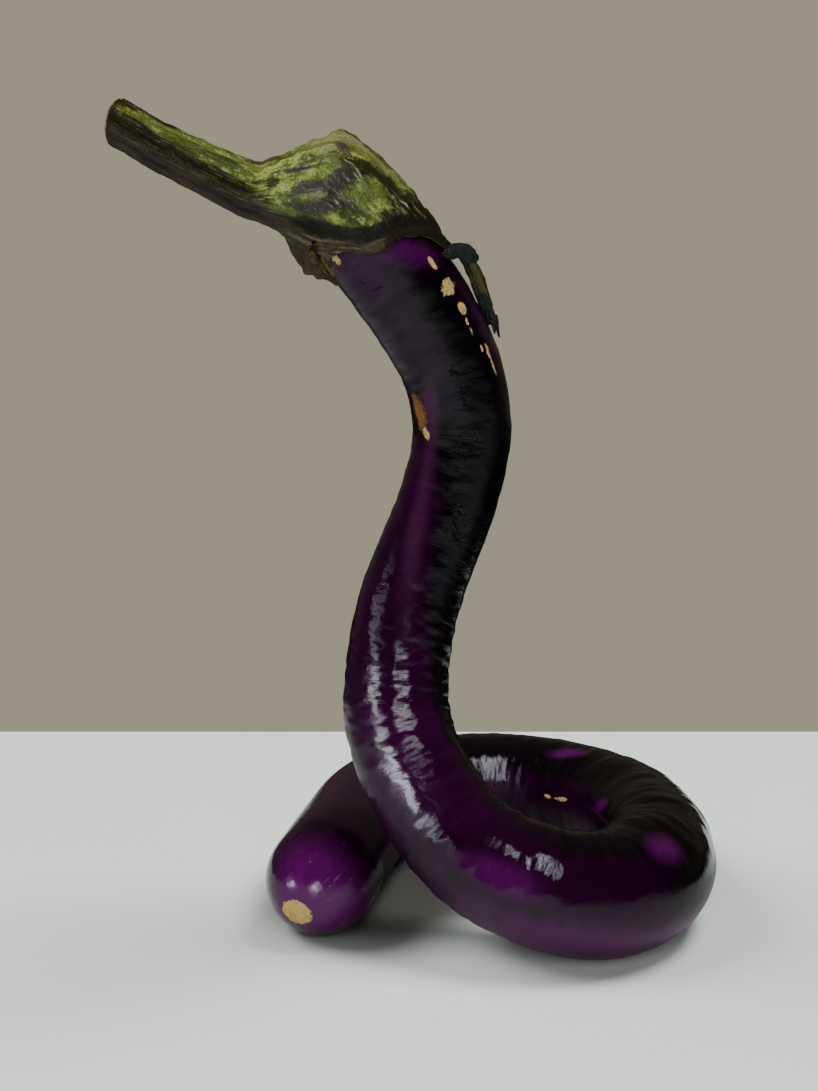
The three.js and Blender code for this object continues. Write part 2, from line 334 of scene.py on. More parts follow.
def skinHeights(piece):  # soft bumps, cross ripples on the neck, folds on the coil
    heights, relief = [], skinRelief
    for way, vertex in zip(readVectors(piece, "skinWay"), piece.data.vertices):
        distance, place = way.z * fruit["wayUnit"], vertex.co / mm
        body = easeIn(distance, *relief["blossomEnd"]) * easeIn(fruitLength - distance, *relief["hiddenEnd"])
        height = skinLayers("lumps", way, distance)
        height += skinLayers("neckLumps", way, distance) * easeIn(distance, *relief["neckLumpsFrom"])
        neck, ripple = easeIn(distance, *relief["ripplesFrom"]), skinLayers("ripples", way, distance)
        lowNeck = 1 - easeIn(place.z, *relief["neckHeight"])
        height += (relief["neckRipple"] + relief["lowNeckRipple"] * lowNeck) * ripple * neck
        coil = easeIn(distance, *relief["coilFrom"]) * easeIn(relief["coilEnd"] - distance, 0, relief["coilFade"])
        inward = 1 - easeIn((place - Vector((*fruit["coilMiddle"], place.z))).length, *relief["innerSide"])
        share = relief["outerFold"] + (1 - relief["outerFold"]) * inward
        height += relief["foldHeight"] * skinLayers("folds", way, distance) * coil * share
        front = easeIn(distance, *relief["frontFrom"]) * (1 - neck) * easeIn(place.z, *relief["frontHeight"])
        inner = relief["innerRipple"] * inward * easeIn(place.y, *relief["backDepth"])
        height += max(inner, relief["frontRipple"] * front) * ripple
        heights.append(height * body)
    return heights


def acrossFruit(along):  # square to the way along: one to the side the neck bows to, one to the front
    up = Vector((0, 1, 0)).cross(along).normalized()
    if up.x < 0:
        up.negate()
    return up, frontOf(up, along)


def directionRound(place, distance):  # 0 on the side the neck bows to, 90 to the front, 180 under the stalk
    middle, along, _ = fruitSection(distance)
    up, front = acrossFruit(along)
    away = place - middle
    return math.degrees(math.atan2(away.dot(front), away.dot(up))) % 360


skinZones = {  # what is measured on the skin, where the zone begins and where it is full
    "neck": ("along", 250, 285), "pastTail": ("along", 60, 105), "pastTip": ("along", 15, 21),
    "pastCoil": ("along", 235, 262), "bendStart": ("along", 262, 290), "bendEnd": ("along", 320, 345),
    "upperNeck": ("along", 300, 340), "nearCalyx": ("along", 428, 452), "pastTailTip": ("alongTail", 15.5, 21),
    "overLeft": ("height", 122, 136), "rightEdge": ("height", 142, 157), "upperLeft": ("height", 125, 150),
    "glossLoss": ("height", 105, 150),
    "fromBack": ("turned", -165, -85), "calyxLeft": ("turned", -150, -60), "calyxRight": ("turned", 95, 140),
    "pastFront": ("turned", -22, 24), "pastBend": ("turned", -60, -20),
    "front": ("forward", 8, 34), "right": ("rightward", 42, 70), "inner": ("inward", -12, 14),
    "rightTop": ("upward", -0.5, 0.35), "innerTop": ("upward", 0.35, 0.8), "frontTop": ("upward", 0.55, 0.95),
    "low": ("downward", -0.12, 0.5),
}
# how purple each part is: partly the skin's own colour, partly painted light and painted shade laid by place
skinShares = {
    # where the purple of the neck ends on the right: degrees at its foot, then from each height up the degrees that
    # it turns to the left for every millimetre, and how it fades
    "edge": 62, "edgeTurns": [(45, 0.95), (95, 0.35)], "edgeFade": (-14, 16),
    # how purple each part is
    "rightEdge": 1.25, "rightEdgeAt": (72, 30), "upperLeft": 0.55, "underCalyx": 0.75, "inner": 0.75,
    "frontTop": 0.8,  # how much less on top of the coil
    "paintedBounceCalyx": 0.5, "paintedBounceFront": 0.9, "paintedBounceTail": 0.8,  # how much more where it faces down: painted light from the pale table below
    "tailLean": 1.6,  # the purple tip reaches further on one side
    # the cork: how far it reaches from the hidden end, its direction, how it narrows, and its ends in degrees
    "corkReach": (14.6, 16.4), "corkAt": 172, "corkNarrows": 0.0045, "corkEnds": (40, 60), "corkWithin": 22,
    # the haze: where it begins and is full, and what the coil and the bend add to each
    "haze": (-0.3, 0.05), "coilHaze": (0.08, 0.1), "bendHaze": (0.3, 0.1), "upperHaze": 0.6, "tipHaze": 0.2, "tip": 22,
}


def skinTones(piece):  # where the skin is purple and not black, dusky, corky, and where it is less glossy; the step from purple to black is partly the skin's own colour and partly painted light and shade
    tones, hazes, shares = [], [], skinShares
    for way, vertex, normalItem in zip(readVectors(piece, "skinWay"), piece.data.vertices, piece.data.vertex_normals):
        distance, place, normal = way.z * fruit["wayUnit"], vertex.co / mm, Vector(normalItem.vector)
        turned = math.degrees(math.atan2(normal.x, -normal.y))  # 0 to the front, 90 to the right
        coilX, coilY = fruit["coilMiddle"]
        measures = {"along": distance, "alongTail": distance + shares["tailLean"] * way.x, "height": place.z,
                    "turned": turned, "forward": -place.y, "rightward": place.x, "upward": normal.z,
                    "downward": -normal.z, "inward": -(normal.x * (place.x - coilX) + normal.y * (place.y - coilY))}
        zone = {name: easeIn(measures[measure], *reach) for name, (measure, *reach) in skinZones.items()}
        neck, tail = zone["neck"], 1 - zone["pastTail"]
        edge = shares["edge"]
        for height, slope in shares["edgeTurns"]:
            edge -= slope * max(place.z - height, 0)
        leftSide = zone["fromBack"] * (1 - easeIn(turned, *(edge + fade for fade in shares["edgeFade"])))
        underCalyx = zone["nearCalyx"] * zone["calyxLeft"] * (1 - zone["calyxRight"])
        middle, width = shares["rightEdgeAt"]
        rightEdge = zone["rightEdge"] * bell(turned - middle, width)
        upperLeft = zone["upperLeft"] * (1 - zone["pastFront"])
        onNeck = max(leftSide * (1 - zone["overLeft"]), shares["underCalyx"] * underCalyx,
                     shares["rightEdge"] * rightEdge, shares["upperLeft"] * upperLeft)
        front = zone["front"] * (1 - zone["right"] * zone["rightTop"])
        inner = zone["inner"] * shares["inner"] * (1 - zone["innerTop"])
        onCoil = max(front * (1 - shares["frontTop"] * zone["frontTop"]), inner)
        onTail = 1 - zone["pastTailTip"]
        purple = neck * onNeck + (1 - neck) * (tail * onTail + (1 - tail) * onCoil)
        # more purple where the skin faces down: painted light from the pale table below
        paintedBounceCoil = shares["paintedBounceFront"] * front * (1 - tail) + shares["paintedBounceTail"] * tail * onTail
        purple += zone["low"] * (neck * shares["paintedBounceCalyx"] * underCalyx + (1 - neck) * paintedBounceCoil)
        cork, fromEnd = 0.0, fruitLength - distance
        if fromEnd < shares["corkWithin"]:
            off = directionRound(place, distance) - shares["corkAt"]
            reach = (end - shares["corkNarrows"] * off * off for end in shares["corkReach"])
            cork = (1 - easeIn(fromEnd, *reach)) * (1 - easeIn(abs(off), *shares["corkEnds"]))
        tones.append((purple, tail * zone["pastTip"], cork))
        coil, bend = 1 - zone["pastCoil"], zone["bendStart"] * (1 - zone["bendEnd"]) * (1 - zone["pastBend"])
        reach = (end - more * coil - most * bend
                 for end, more, most in zip(shares["haze"], shares["coilHaze"], shares["bendHaze"]))
        haze = easeIn(-normal.z, *reach) * (1 - shares["upperHaze"] * zone["upperNeck"])
        hazes.append((haze * (shares["tipHaze"] if distance < shares["tip"] else 1), zone["glossLoss"], 0))
    storeVectors(piece, "skinTone", tones)
    storeVectors(piece, "skinHaze", hazes)


fruitSkin = growFruit()
liftSkin(fruitSkin, skinHeights(fruitSkin))
skinTones(fruitSkin)


def pressFlat(piece):  # what would be under the table is pressed flat on it
    choose(piece, "VERT", lambda vertex: vertex.co.z < 0)
    bpy.ops.transform.resize(value=(1, 1, 0), center_override=(0, 0, 0))
    closeMesh()


pressFlat(fruitSkin)
bpy.ops.object.shade_smooth()
print("fruit grown:", len(fruitSkin.data.polygons), "faces")

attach(fruitSkin, "root")
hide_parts("fruit")


# Stalk and calyx

stem = {
    # middle x, y, z, lean of the long axis, half height, half depth; from the cut end to where the fruit starts
    "route": [
        (-76.6, -31.5, 208.5, 69, 5.5, 5.2), (-67.2, -27.4, 203.4, 69, 5.6, 5.4), (-53.5, -21.8, 197.5, 67, 6.2, 6),
        (-45.1, -18.5, 194.5, 65, 7, 6.8), (-38, -17.5, 194.6, 73, 9.5, 9.2), (-31.5, -17, 194.4, 74, 12.9, 12.3),
        (-25.5, -16.5, 194.2, 73, 15.5, 14.6), (-20.3, -16, 190.4, 66, 15.4, 15.3),
    ],
    "calyxFrom": 3,  # the row where the calyx takes over
    "sides": 96,
    "stalkRings": 40,
    "calyxRings": 64,
    "wall": 1.2,
    "rimWall": 0.75,
    "gap": 0.3,
    "hugFrom": 9,  # where the calyx starts to hug the fruit, measured from the fruit's hidden end
    "hugSteps": (0, 0.33, 0.66, 1),
    "insideSteps": (0.93, 0.75, 0.55, 0.36, 0.2, 0.09),  # back up between calyx and fruit, as shares of the reach
    "rim": 12,
    "ragged": [(0.9, 3, 0.3, 2.2), (0.5, 9, 0.7, 6.1)],  # millimetres, how many round, place along, seed
    # direction, half width, added reach, lift; 0 is the side the neck bows to, 90 the front, 180 under the stalk
    "lobes": [(10, 75, 18, 0.9), (85, 50, 6.5, 0.2), (172, 42, -5, 0.3), (235, 34, 7, 0.4), (300, 40, 10, 0.5)],
    "ridges": [(6, 20, 0.32), (9, 75, 0.26), (14, 10, 0.14)],  # how many, turn, height
    "capSteps": [(0.4, 1.15), (0.72, 0.95), (0.92, 0.5)],  # the rounded cut end: share of its width, how far out
    "cutBulge": 1.2,
    "cutSlant": 2.3,  # how far the near edge of the cut stands out, so the cut faces away
    "slantRings": 14,
    "slantFade": 1.5,
    "seamSteps": [(0.94, 0.7), (0.5, 0.3)],  # inside the seam: share of the width, how far in
}
tenMillimetres = 10  # the stem counts its length in these


def loft(name, rings, startPole, endPole):  # a circle pulled out once for each ring, then laid on the rings' points
    piece = startRing(name, len(rings[0]), 5, startPole)
    for _ in rings[1:]:
        bpy.ops.mesh.extrude_region_move(TRANSFORM_OT_translate={"value": (0, 0, mm)})
    closeToPoint()
    points = [startPole, *(point for ring in rings for point in ring), endPole]
    piece.data.vertices.foreach_set("co", [number * mm for point in points for number in point])
    rightWayOut(piece)
    return piece


def ridgeHeight(angle):
    return sum(height * math.cos(count * angle + math.radians(turn)) for count, turn, height in stem["ridges"])


def stemPoint(row, angle, ridge):  # on the stalk or on the free part of the calyx; row counts along the route
    last = len(stem["route"]) - 1
    x, y, z, lean, half, depth = rowAt(stem["route"], row / last)
    ahead, behind = (Vector(rowAt(stem["route"], (row + step) / last)[:3]) for step in (0.1, -0.1))
    along = (ahead - behind).normalized()
    up = Vector((math.cos(math.radians(lean)), 0, math.sin(math.radians(lean))))
    front = frontOf(up, along)
    lift = ridge * ridgeHeight(angle)
    middle = Vector((x + fruit["centring"][0], y + fruit["centring"][1], z))
    return middle + up * math.cos(angle) * (half + lift) + front * math.sin(angle) * (depth + lift)


def roundFruit(fromEnd, angle, out):  # round the fruit's middle, at a distance from its hidden end
    middle, along, _ = fruitSection(fruitLength - fromEnd)
    up, front = acrossFruit(along)
    return middle + up * math.cos(angle) * out + front * math.sin(angle) * out


def overFruit(fromEnd, angle, lift):
    return roundFruit(fromEnd, angle, fruitSection(fruitLength - fromEnd)[2] + lift)


def rimAt(angle):  # how far the rim reaches and how far it stands off the fruit
    reach, lift = stem["rim"], 0.0
    for direction, halfWidth, more, up in stem["lobes"]:
        off = abs((math.degrees(angle) - direction + 540) % 360 - 180)
        if off < halfWidth:
            share = math.cos(math.radians(off / halfWidth * 90)) ** 2
            reach += more * share
            lift += up * share
    return reach + layered(stem["ragged"], math.cos(angle), math.sin(angle), 1), lift


def calyxColumn(angle):  # one line of points from the stalk down to the rim, round the rim and back up inside
    reach, lift = rimAt(angle)
    foot, hugFrom, count, gap = stem["calyxFrom"], min(stem["hugFrom"], reach - 3), stem["calyxRings"], stem["gap"]
    knots = [stemPoint(foot + row, angle, 1 + row / 3) for row in range(4)]
    for t in stem["hugSteps"]:
        wall = stem["wall"] * (1 - t) + stem["rimWall"] * t
        over = wall + gap + lift * (0.4 + 0.6 * t) + 0.5 * (1 - t) * ridgeHeight(angle)
        knots.append(overFruit(hugFrom + (reach - hugFrom) * t, angle, over))
    outside = [curveAt(knots, k / count) for k in range(count + 1)]
    under = gap + lift
    rim = [overFruit(reach + 0.22, angle, under + 0.6 * stem["rimWall"]), overFruit(reach + 0.1, angle, under + 0.12)]
    inside = [overFruit(reach * share, angle, gap + lift * share ** 3) for share in stem["insideSteps"]]
    return outside + rim + inside


def growStem():  # stalk and calyx in one skin; it notes where the calyx takes over, where they are parted later
    sides, stalkRings, foot, slantRings = stem["sides"], stem["stalkRings"], stem["calyxFrom"], stem["slantRings"]
    angles = [2 * math.pi * side / sides for side in range(sides)]
    stalk = [[stemPoint(foot * k / stalkRings, angle, 1) for angle in angles] for k in range(stalkRings)]
    calyx = [list(ring) for ring in zip(*(calyxColumn(angle) for angle in angles))]
    cutMiddle = sum(stalk[0], Vector()) / sides
    outward = (cutMiddle - sum(stalk[1], Vector()) / sides).normalized()
    for k in range(slantRings):
        fade = (1 - k / slantRings) ** stem["slantFade"]
        stalk[k] = [point + outward * stem["cutSlant"] * math.sin(angle) * fade
                    for point, angle in zip(stalk[k], angles)]
    cap = [[cutMiddle.lerp(point, share) + outward * out for point in stalk[0]] for share, out in stem["capSteps"]]
    startPole = cutMiddle + outward * stem["cutBulge"]
    hiddenMiddle, hiddenAlong, _ = fruitSection(fruitLength - 0.2)
    rings = cap + stalk + calyx
    piece = loft("stem", rings, startPole, hiddenMiddle + hiddenAlong * 0.6)
    ways, insides, gone, before = [(0, 0, 0)], [(0, 9, 0)], 0.0, startPole
    lastOutside = len(cap) + stalkRings + stem["calyxRings"]
    for k, ring in enumerate(rings):
        middle = sum(ring, Vector()) / sides
        if k <= lastOutside:
            gone += (middle - before).length
        way = gone / tenMillimetres
        if k == len(cap) + stalkRings:
            stem["seamWay"], stem["seamMiddle"] = way, middle * mm
        before = middle
        ways += [(math.cos(angle), math.sin(angle), way) for angle in angles]
        insides += [(float(k > lastOutside), (point - rings[lastOutside][i]).length, 0)
                    for i, point in enumerate(ring)]
    storeVectors(piece, "stemWay", ways + [(0, 0, way)])
    storeVectors(piece, "stemSide", insides + [(1, 0, 0)])  # inside or not, and how far from the rim
    subdivide(piece, 1)
    return piece


stemMarks = {
    # x and z of the line between the green side and the brown lip, as it runs down the front
    "greenLine": [
        (-74.5, 204.2), (-67.6, 200.9), (-58.5, 196.2), (-49, 191.3), (-41.5, 188.4), (-35.8, 186.4), (-32.9, 185.1),
        (-29, 183.5), (-25, 182.3), (-19.9, 181.3), (-14.8, 181.2), (-11.1, 182.7), (-7.3, 184.4), (0, 185.4), (8, 182),
    ],
    # tens of millimetres from the cut, then where the green band of the stalk lies and its width, in degrees
    "bandMiddle": [(0.2, 62), (0.9, 50), (1.5, 40), (2.4, 36), (3.4, 44), (4.2, 60), (4.8, 80)],
    "bandWidth": [(0.2, 12), (0.7, 18), (1.3, 32), (2, 46), (3, 46), (4, 42)],
    "calyxStarts": (3.6, 5.2),
    "stalkShadeEnds": (3.6, 4.7),
    "shadeFrom": [(0.55, 0), (0.9, 6)],  # below the green band: shares of its width and degrees more
    "brownStalk": (112, 134), "brownRagged": 0.6,  # degrees from the top, how ragged
    "brownCalyx": (-0.5, 1.1),  # millimetres below the line
    # the dark shoulder: by x, and higher up by less; then its lower left part by x and below the line
    "shoulder": (-9, 3), "shoulderLean": (0.35, 190), "lowShoulder": (-14, -8), "lowShoulderBelow": (-1.8, 0.2),
    # the crease over the lower lip: its ends by x, where it turns to the front, its depth, width and place
    "creaseLeft": (-38, -29), "creaseRight": (-7, 1), "creaseFront": (-0.1, 0.35),
    "creaseDepth": 0.95, "creaseWidth": 1.25, "creaseBelow": 0.9, "creaseDark": (0.1, 2.1),
    # the long fibres: height, how many round, how many along the stalk and how many more along the calyx, seed
    "fibre": (0.5, 4.5, 0.28, 0.4, 0.4),
    "fibreShare": (0.5, 0.4),  # of all fibres on the stalk, and how much more on the calyx
    # height, how many round, how many along, seed
    "lineRagged": [(0.6, 3, 1.2, 3.3)],
    "threads": [(0.32, 9, 0.5, 1.9), (0.24, 18, 0.7, 4.2)],
    "swellings": [(0.3, 0.8, 2.4, 6.6)],
    "bandRagged": [(7, 3, 1.6, 8.8), (4, 7, 4, 2.1)],
    # height on the stalk, how much more on the calyx, size in millimetres, seed
    "lumps": [(0, 0.7, 5, 7.7), (0.14, 0.42, 2.2, 9.1), (0.1, 0.12, 1.1, 5.9)],
    "lipFrom": (1.5, 2.6),
    "lipHeight": 0.3,
    "lipFolds": [(0.42, 9, 0.85, 2.4), (0.2, 6, 2, 5.2)],  # height, length, how many down, seed
    "deepest": 0.6,
    "rimShare": 0.35, "rimCalm": 2.5,  # how much of it is left at the rim, and where it is all there
    # how strongly each part is shaded
    "stalkShade": 0.46, "creaseShade": 1.15, "calyxGreen": 0.85,
}


def stemShape(piece):  # fibres, lumps, the crease over the lower lip; also what is green, brown and dark
    heights, tones, marks = [], [], stemMarks
    ways, sides = readVectors(piece, "stemWay"), readVectors(piece, "stemSide")
    for way, side, vertex in zip(ways, sides, piece.data.vertices):
        place = vertex.co / mm
        x, y, height = place
        c, s, z = way
        turned = abs(math.degrees(math.atan2(s, c)))
        calyx = easeIn(z, *marks["calyxStarts"])
        below = lineAt(marks["greenLine"], x) - height
        below += layered(marks["lineRagged"], c, s, z)
        crease = easeIn(x, *marks["creaseLeft"]) * (1 - easeIn(x, *marks["creaseRight"]))
        crease *= easeIn(s, *marks["creaseFront"])
        high, around, often, oftener, seed = marks["fibre"]
        fibre = high * wobble(c * around, s * around, z * (often + oftener * calyx), seed)
        fibre += layered(marks["threads"], c, s, z)
        onStalk, more = marks["fibreShare"]
        rise = fibre * (onStalk + more * calyx)
        for onStalk, more, size, seed in marks["lumps"]:
            rise += (onStalk + more * calyx) * wobble(x / size, y / size, height / size, seed)
        rise += (1 - calyx) * layered(marks["swellings"], c, s, z)
        rise -= crease * marks["creaseDepth"] * bell(below - marks["creaseBelow"], marks["creaseWidth"])
        fold = marks["lipHeight"]
        for high, length, down, seed in marks["lipFolds"]:
            fold += high * wobble(x / length, y / length, below * down, seed)
        rise += crease * easeIn(below, *marks["lipFrom"]) * fold
        if rise < 0:
            rise = marks["deepest"] * math.tanh(rise / marks["deepest"])  # never through the wall
        calm = marks["rimShare"] + (1 - marks["rimShare"]) * easeIn(side.y, 0, marks["rimCalm"])
        heights.append(rise * (1 - side.x) * calm)
        ragged = layered(marks["bandRagged"], c, s, z)
        middle, wide = lineAt(marks["bandMiddle"], z), lineAt(marks["bandWidth"], z)
        band = bell(turned + ragged - middle, wide)
        under = easeIn(turned + ragged, *(middle + share * wide + more for share, more in marks["shadeFrom"]))
        brownStalk = easeIn(turned + marks["brownRagged"] * ragged, *marks["brownStalk"])
        brownCalyx = easeIn(below, *marks["brownCalyx"])
        brown = brownStalk * (1 - calyx) + brownCalyx * calyx
        lean, level = marks["shoulderLean"]
        lowShoulder = easeIn(x, *marks["lowShoulder"]) * easeIn(below, *marks["lowShoulderBelow"])
        shoulder = max(easeIn(x + lean * (height - level), *marks["shoulder"]), lowShoulder) * calyx
        stalkShade = marks["stalkShade"] * under * (1 - brownStalk) * (1 - easeIn(z, *marks["stalkShadeEnds"]))
        # the crease over the lip is darkened with painted shade
        middle, wide = marks["creaseDark"]
        dark = max(marks["creaseShade"] * crease * bell(below - middle, wide), shoulder, stalkShade)
        green = max(band * (1 - calyx), marks["calyxGreen"] * calyx * (1 - brownCalyx))
        tones.append((green, brown, dark))
        side.z = below
    storeVectors(piece, "stemTone", tones)
    piece.data.attributes["stemSide"].data.foreach_set("vector", [number for side in sides for number in side])
    return heights


def partStem(piece, seam):  # the stalk is parted from the calyx, and both are closed inside
    ways = readVectors(piece, "stemWay")
    choose(piece, "FACE", lambda face: all(ways[index].z < seam + 0.0005 for index in face.vertices))
    bpy.ops.mesh.separate(type="SELECTED")
    closeMesh()
    stalk = next(item for item in bpy.context.selected_objects if item is not piece)
    stalk.name = stalk.data.name = "stalk_skin"
    piece.name = piece.data.name = "calyx_skin"
    for part, inward in ((stalk, -0.5), (piece, 0.5)):
        openMesh(part, "DESELECT")
        bpy.ops.mesh.select_non_manifold()
        bpy.ops.mesh.mark_sharp()
        for shrink, move in stem["seamSteps"]:
            step = (inward * move * mm, 0, -0.4 * inward * move * mm)
            bpy.ops.mesh.extrude_region_move(TRANSFORM_OT_translate={"value": step})
            bpy.ops.transform.resize(value=(shrink, shrink, shrink), center_override=stem["seamMiddle"])
        bpy.ops.mesh.merge(type="CENTER")
        closeMesh()
        rightWayOut(part)
    return stalk


stemSkin = growStem()
liftSkin(stemSkin, stemShape(stemSkin))
stalkSkin = partStem(stemSkin, stem["seamWay"])
print("stem grown:", len(stemSkin.data.polygons), "and", len(stalkSkin.data.polygons), "faces")

# The lobe under the stalk, a thin crumpled flap that hangs clear of the fruit

flap = {
    # distance from the fruit's hidden end, then direction and distance out at the near edge, hollow, crest and far edge
    "rows": [
        (-7, 172, 10.5, 176, 10.8, 184, 11.5, 200, 10.5), (-1.5, 170, 14.5, 175, 15.6, 183, 17.4, 204, 15.8),
        (3, 170, 14.8, 176, 16.4, 183, 18.9, 207, 17), (7, 171, 14.9, 177, 16.2, 183, 19.4, 206, 17.4),
        (10, 172, 14.9, 177, 15.9, 183, 19.1, 204, 17.4), (11.8, 173, 14.9, 177, 15.6, 182, 18.3, 199, 17),
        (13.4, 174, 14.8, 178, 15.2, 182, 16.9, 192, 16.2), (15.2, 175, 14.7, 178, 14.9, 181, 15.8, 189, 15.4),
        (17.8, 177, 14.6, 178, 14.7, 181, 14.9, 185, 14.8),
    ],
    "grid": (44, 26),
    "thickness": 0.7,
    # height, how many along the flap, how many across, place in the pattern, seed
    "folds": [(1, 3, 6, 0.1, 2.7), (0.6, 6, 12, 0.6, 3.9), (0.25, 12, 20, 0.2, 4.6)],
    "scallops": [(1, 7, 1.5, 0.8, 1.1), (0.5, 15, 1.8, 0.3, 6.4)],
    "turns": [(1, 7, 3, 0.2, 5.5)],
    "slips": [(1, 4, 7, 0.4, 8.3)],
    # how strong they are, in millimetres or degrees
    "foldHeight": 0.6, "scallopHeight": 0.9, "turnBy": 2.0, "slipBy": 0.6,
    "crestAt": (0.66, 0.15),  # share of the way across, width
    # where it is free, along and across, and how much it is held again towards its end
    "freeFrom": (0.12, 0.3), "heldFrom": (0.72, 1), "held": 0.75, "freeAcross": (0, 0.12),
    "fibreWay": (4.2, 5, 2.4),  # how far the fibres fan out, where they start and how far they run
    # the dark far edge and the painted shade in the bottoms of the folds: where, and how dark
    "farEdge": (0.93, 1), "farShade": 0.5, "foldBottom": (0.3, 0.7), "foldShade": 0.6,
    "innerAlong": (0.3, 0.42), "innerAcross": (0.22, 0.36),  # the part near the fruit that looks like the inside
}


def flapLayers(kind, u, v):
    return sum(height * wobble(u * along, v * across, place, seed) for height, along, across, place, seed in flap[kind])


def growFlap():
    bpy.ops.mesh.primitive_grid_add(x_subdivisions=flap["grid"][0], y_subdivisions=flap["grid"][1], size=1)
    piece = named("flap")
    ways, tones, sides = [], [], []
    for vertex in piece.data.vertices:
        u, v = vertex.co.x + 0.5, vertex.co.y + 0.5
        fromEnd, *row = rowAt(flap["rows"], u)
        direction, out = rowAt([row[0:2], row[2:4], row[4:6], row[6:8]], v)
        held = flap["held"] * easeIn(u, *flap["heldFrom"])
        free = easeIn(u, *flap["freeFrom"]) * (1 - held) * easeIn(v, *flap["freeAcross"])
        crest = bell(v - flap["crestAt"][0], flap["crestAt"][1])
        fold = flapLayers("folds", u, v)
        out += free * (flap["foldHeight"] * fold + flap["scallopHeight"] * crest * flapLayers("scallops", u, v))
        direction += free * flap["turnBy"] * flapLayers("turns", u, v)
        fromEnd += free * flap["slipBy"] * flapLayers("slips", u, v)
        vertex.co = roundFruit(fromEnd, math.radians(direction), out) * mm
        fan, start, run = flap["fibreWay"]
        ways.append((math.cos(v * fan), math.sin(v * fan), start + run * u))
        farShade = flap["farShade"] * easeIn(v, *flap["farEdge"])
        tones.append((0, 1, free * max(farShade, flap["foldShade"] * easeIn(-fold, *flap["foldBottom"]))))
        sides.append((easeIn(u, *flap["innerAlong"]) * (1 - easeIn(v, *flap["innerAcross"])), 9, 9))
    storeVectors(piece, "stemWay", ways)
    storeVectors(piece, "stemTone", tones)
    storeVectors(piece, "stemSide", sides)
    rightWayOut(piece)
    if piece.data.polygons[len(piece.data.polygons) // 2].normal.x > 0:
        openMesh(piece)
        bpy.ops.mesh.flip_normals()
        closeMesh()
    return piece


flapSkin = growFlap()

# The withered tip of the longest lobe: a dark curl at the rim, then a shrivelled strip with torn ends

wither = {
    # x, y, z, half thickness, half width
    "strip": [
        (8.2, -18, 179.6, 1.4, 2.6), (11.2, -16.5, 177.2, 2.1, 3.8), (13.6, -14.8, 174, 2.25, 3.5),
        (15.1, -13.8, 170.4, 2.35, 3.5), (16.6, -13.1, 166.5, 2.15, 3.1), (18, -12.8, 162.6, 1.9, 2.7),
        (18.8, -12.7, 160.6, 1.4, 2.1),
    ],
    "curl": [
        (4.6, -22.4, 177.2, 0.35, 0.45), (5.8, -21.9, 177.6, 1.1, 1.2), (7.4, -21, 178.3, 1.8, 1.9),
        (9.2, -19.9, 178.5, 2.3, 2.4), (10.9, -18.8, 178.1, 2.65, 2.7), (12.4, -17.8, 177.1, 2.4, 2.4),
        (13.4, -17.2, 176.2, 1.4, 1.4),
    ],
    # rings, seed, crumple and how deep one side is pinched in
    "stripShape": (46, 4.1, 0.8, 0.55),
    "curlShape": (26, 7.3, 0.85, 0.2),
    "spikes": [  # root, tip, width at the root
        ((18.4, -14.2, 160.8), (18.9, -14.6, 157.6), 0.75), ((19.3, -12.6, 160.9), (20.3, -12.9, 156.7), 0.8),
        ((18.6, -10.9, 161), (19.4, -10.4, 158.2), 0.7), ((17, -15, 163.2), (17, -16, 161.2), 0.5)],
    "spikeRows": [(-0.45, 1.2), (0.1, 0.9), (0.45, 0.6), (0.75, 0.5), (1, 0.16)],  # share of its way, of its width
    "spikeRings": 10,
    "spikeCrumple": 0.16,
    "flatness": 0.75,
    "creases": [(1, 1.6, 6, 0), (0.7, 3.4, 12, 2), (0.35, 5, 24, 4)],  # share, how many round, how many along, seed
    "sides": 20,
    "length": 2.2,
    "green": (166, 170, 174.5, 177),  # the heights between which the strip is still green
}


def witheredTube(name, rows, count, seed, crumple, pinch):  # a flattened tube with creases
    shift = Vector((*fruit["centring"], 0))
    rings, ways, sides = [], [], wither["sides"]
    for k in range(count + 1):
        t = k / count
        x, y, z, thick, wide = rowAt(rows, t)
        ahead, behind = Vector(rowAt(rows, t + 0.03)[:3]), Vector(rowAt(rows, t - 0.03)[:3])
        along = (ahead - behind).normalized()
        wideAxis = (Vector((0, 1, 0)) - along * along.y).normalized()
        thickAxis = wideAxis.cross(along)
        ring = []
        for side in range(sides):
            angle = 2 * math.pi * side / sides
            c, s = math.cos(angle), math.sin(angle)
            lump = crumple * sum(share * wobble(c * around, s * around, t * often, seed + more)
                                 for share, around, often, more in wither["creases"])
            thin = thick * (1 - pinch * max(-c, 0) ** 3)
            ring.append(Vector((x, y, z)) + shift + thickAxis * c * (thin + lump) + wideAxis * s * (wide + lump))
            ways.append((c, s, t * wither["length"]))
        rings.append(ring)
    piece = loft(name, rings, sum(rings[0], Vector()) / sides, sum(rings[-1], Vector()) / sides)
    storeVectors(piece, "stemWay", [(0, 0, 0), *ways, (0, 0, wither["length"])])
    storeVectors(piece, "stemSide", [(0, 9, 0)] * len(piece.data.vertices))
    subdivide(piece, 1)
    return piece


def tornSpike(root, tip, width, seed):
    root, tip = Vector(root), Vector(tip)
    rows = [(*root.lerp(tip, share), width * thin, wither["flatness"] * width * thin)
            for share, thin in wither["spikeRows"]]
    return witheredTube("spike", rows, wither["spikeRings"], seed, wither["spikeCrumple"], 0)


strip = witheredTube("strip", wither["strip"], *wither["stripShape"])
curl = witheredTube("curl", wither["curl"], *wither["curlShape"])
spikes = [tornSpike(root, tip, width, 2.0 + index) for index, (root, tip, width) in enumerate(wither["spikes"])]
witheredPieces = [strip, curl, *spikes]
greenFrom, greenFull, greenFades, greenEnds = wither["green"]
for piece in witheredPieces:
    tones = []
    for vertex in piece.data.vertices:
        height = vertex.co.z / mm
        isGreen = easeIn(height, greenFrom, greenFull) * (1 - easeIn(height, greenFades, greenEnds))
        fresh = isGreen if piece is strip else 0
        tones.append((fresh, 0, 1 - fresh))
    storeVectors(piece, "stemTone", tones)
print("lobes shaped")


# Finishes

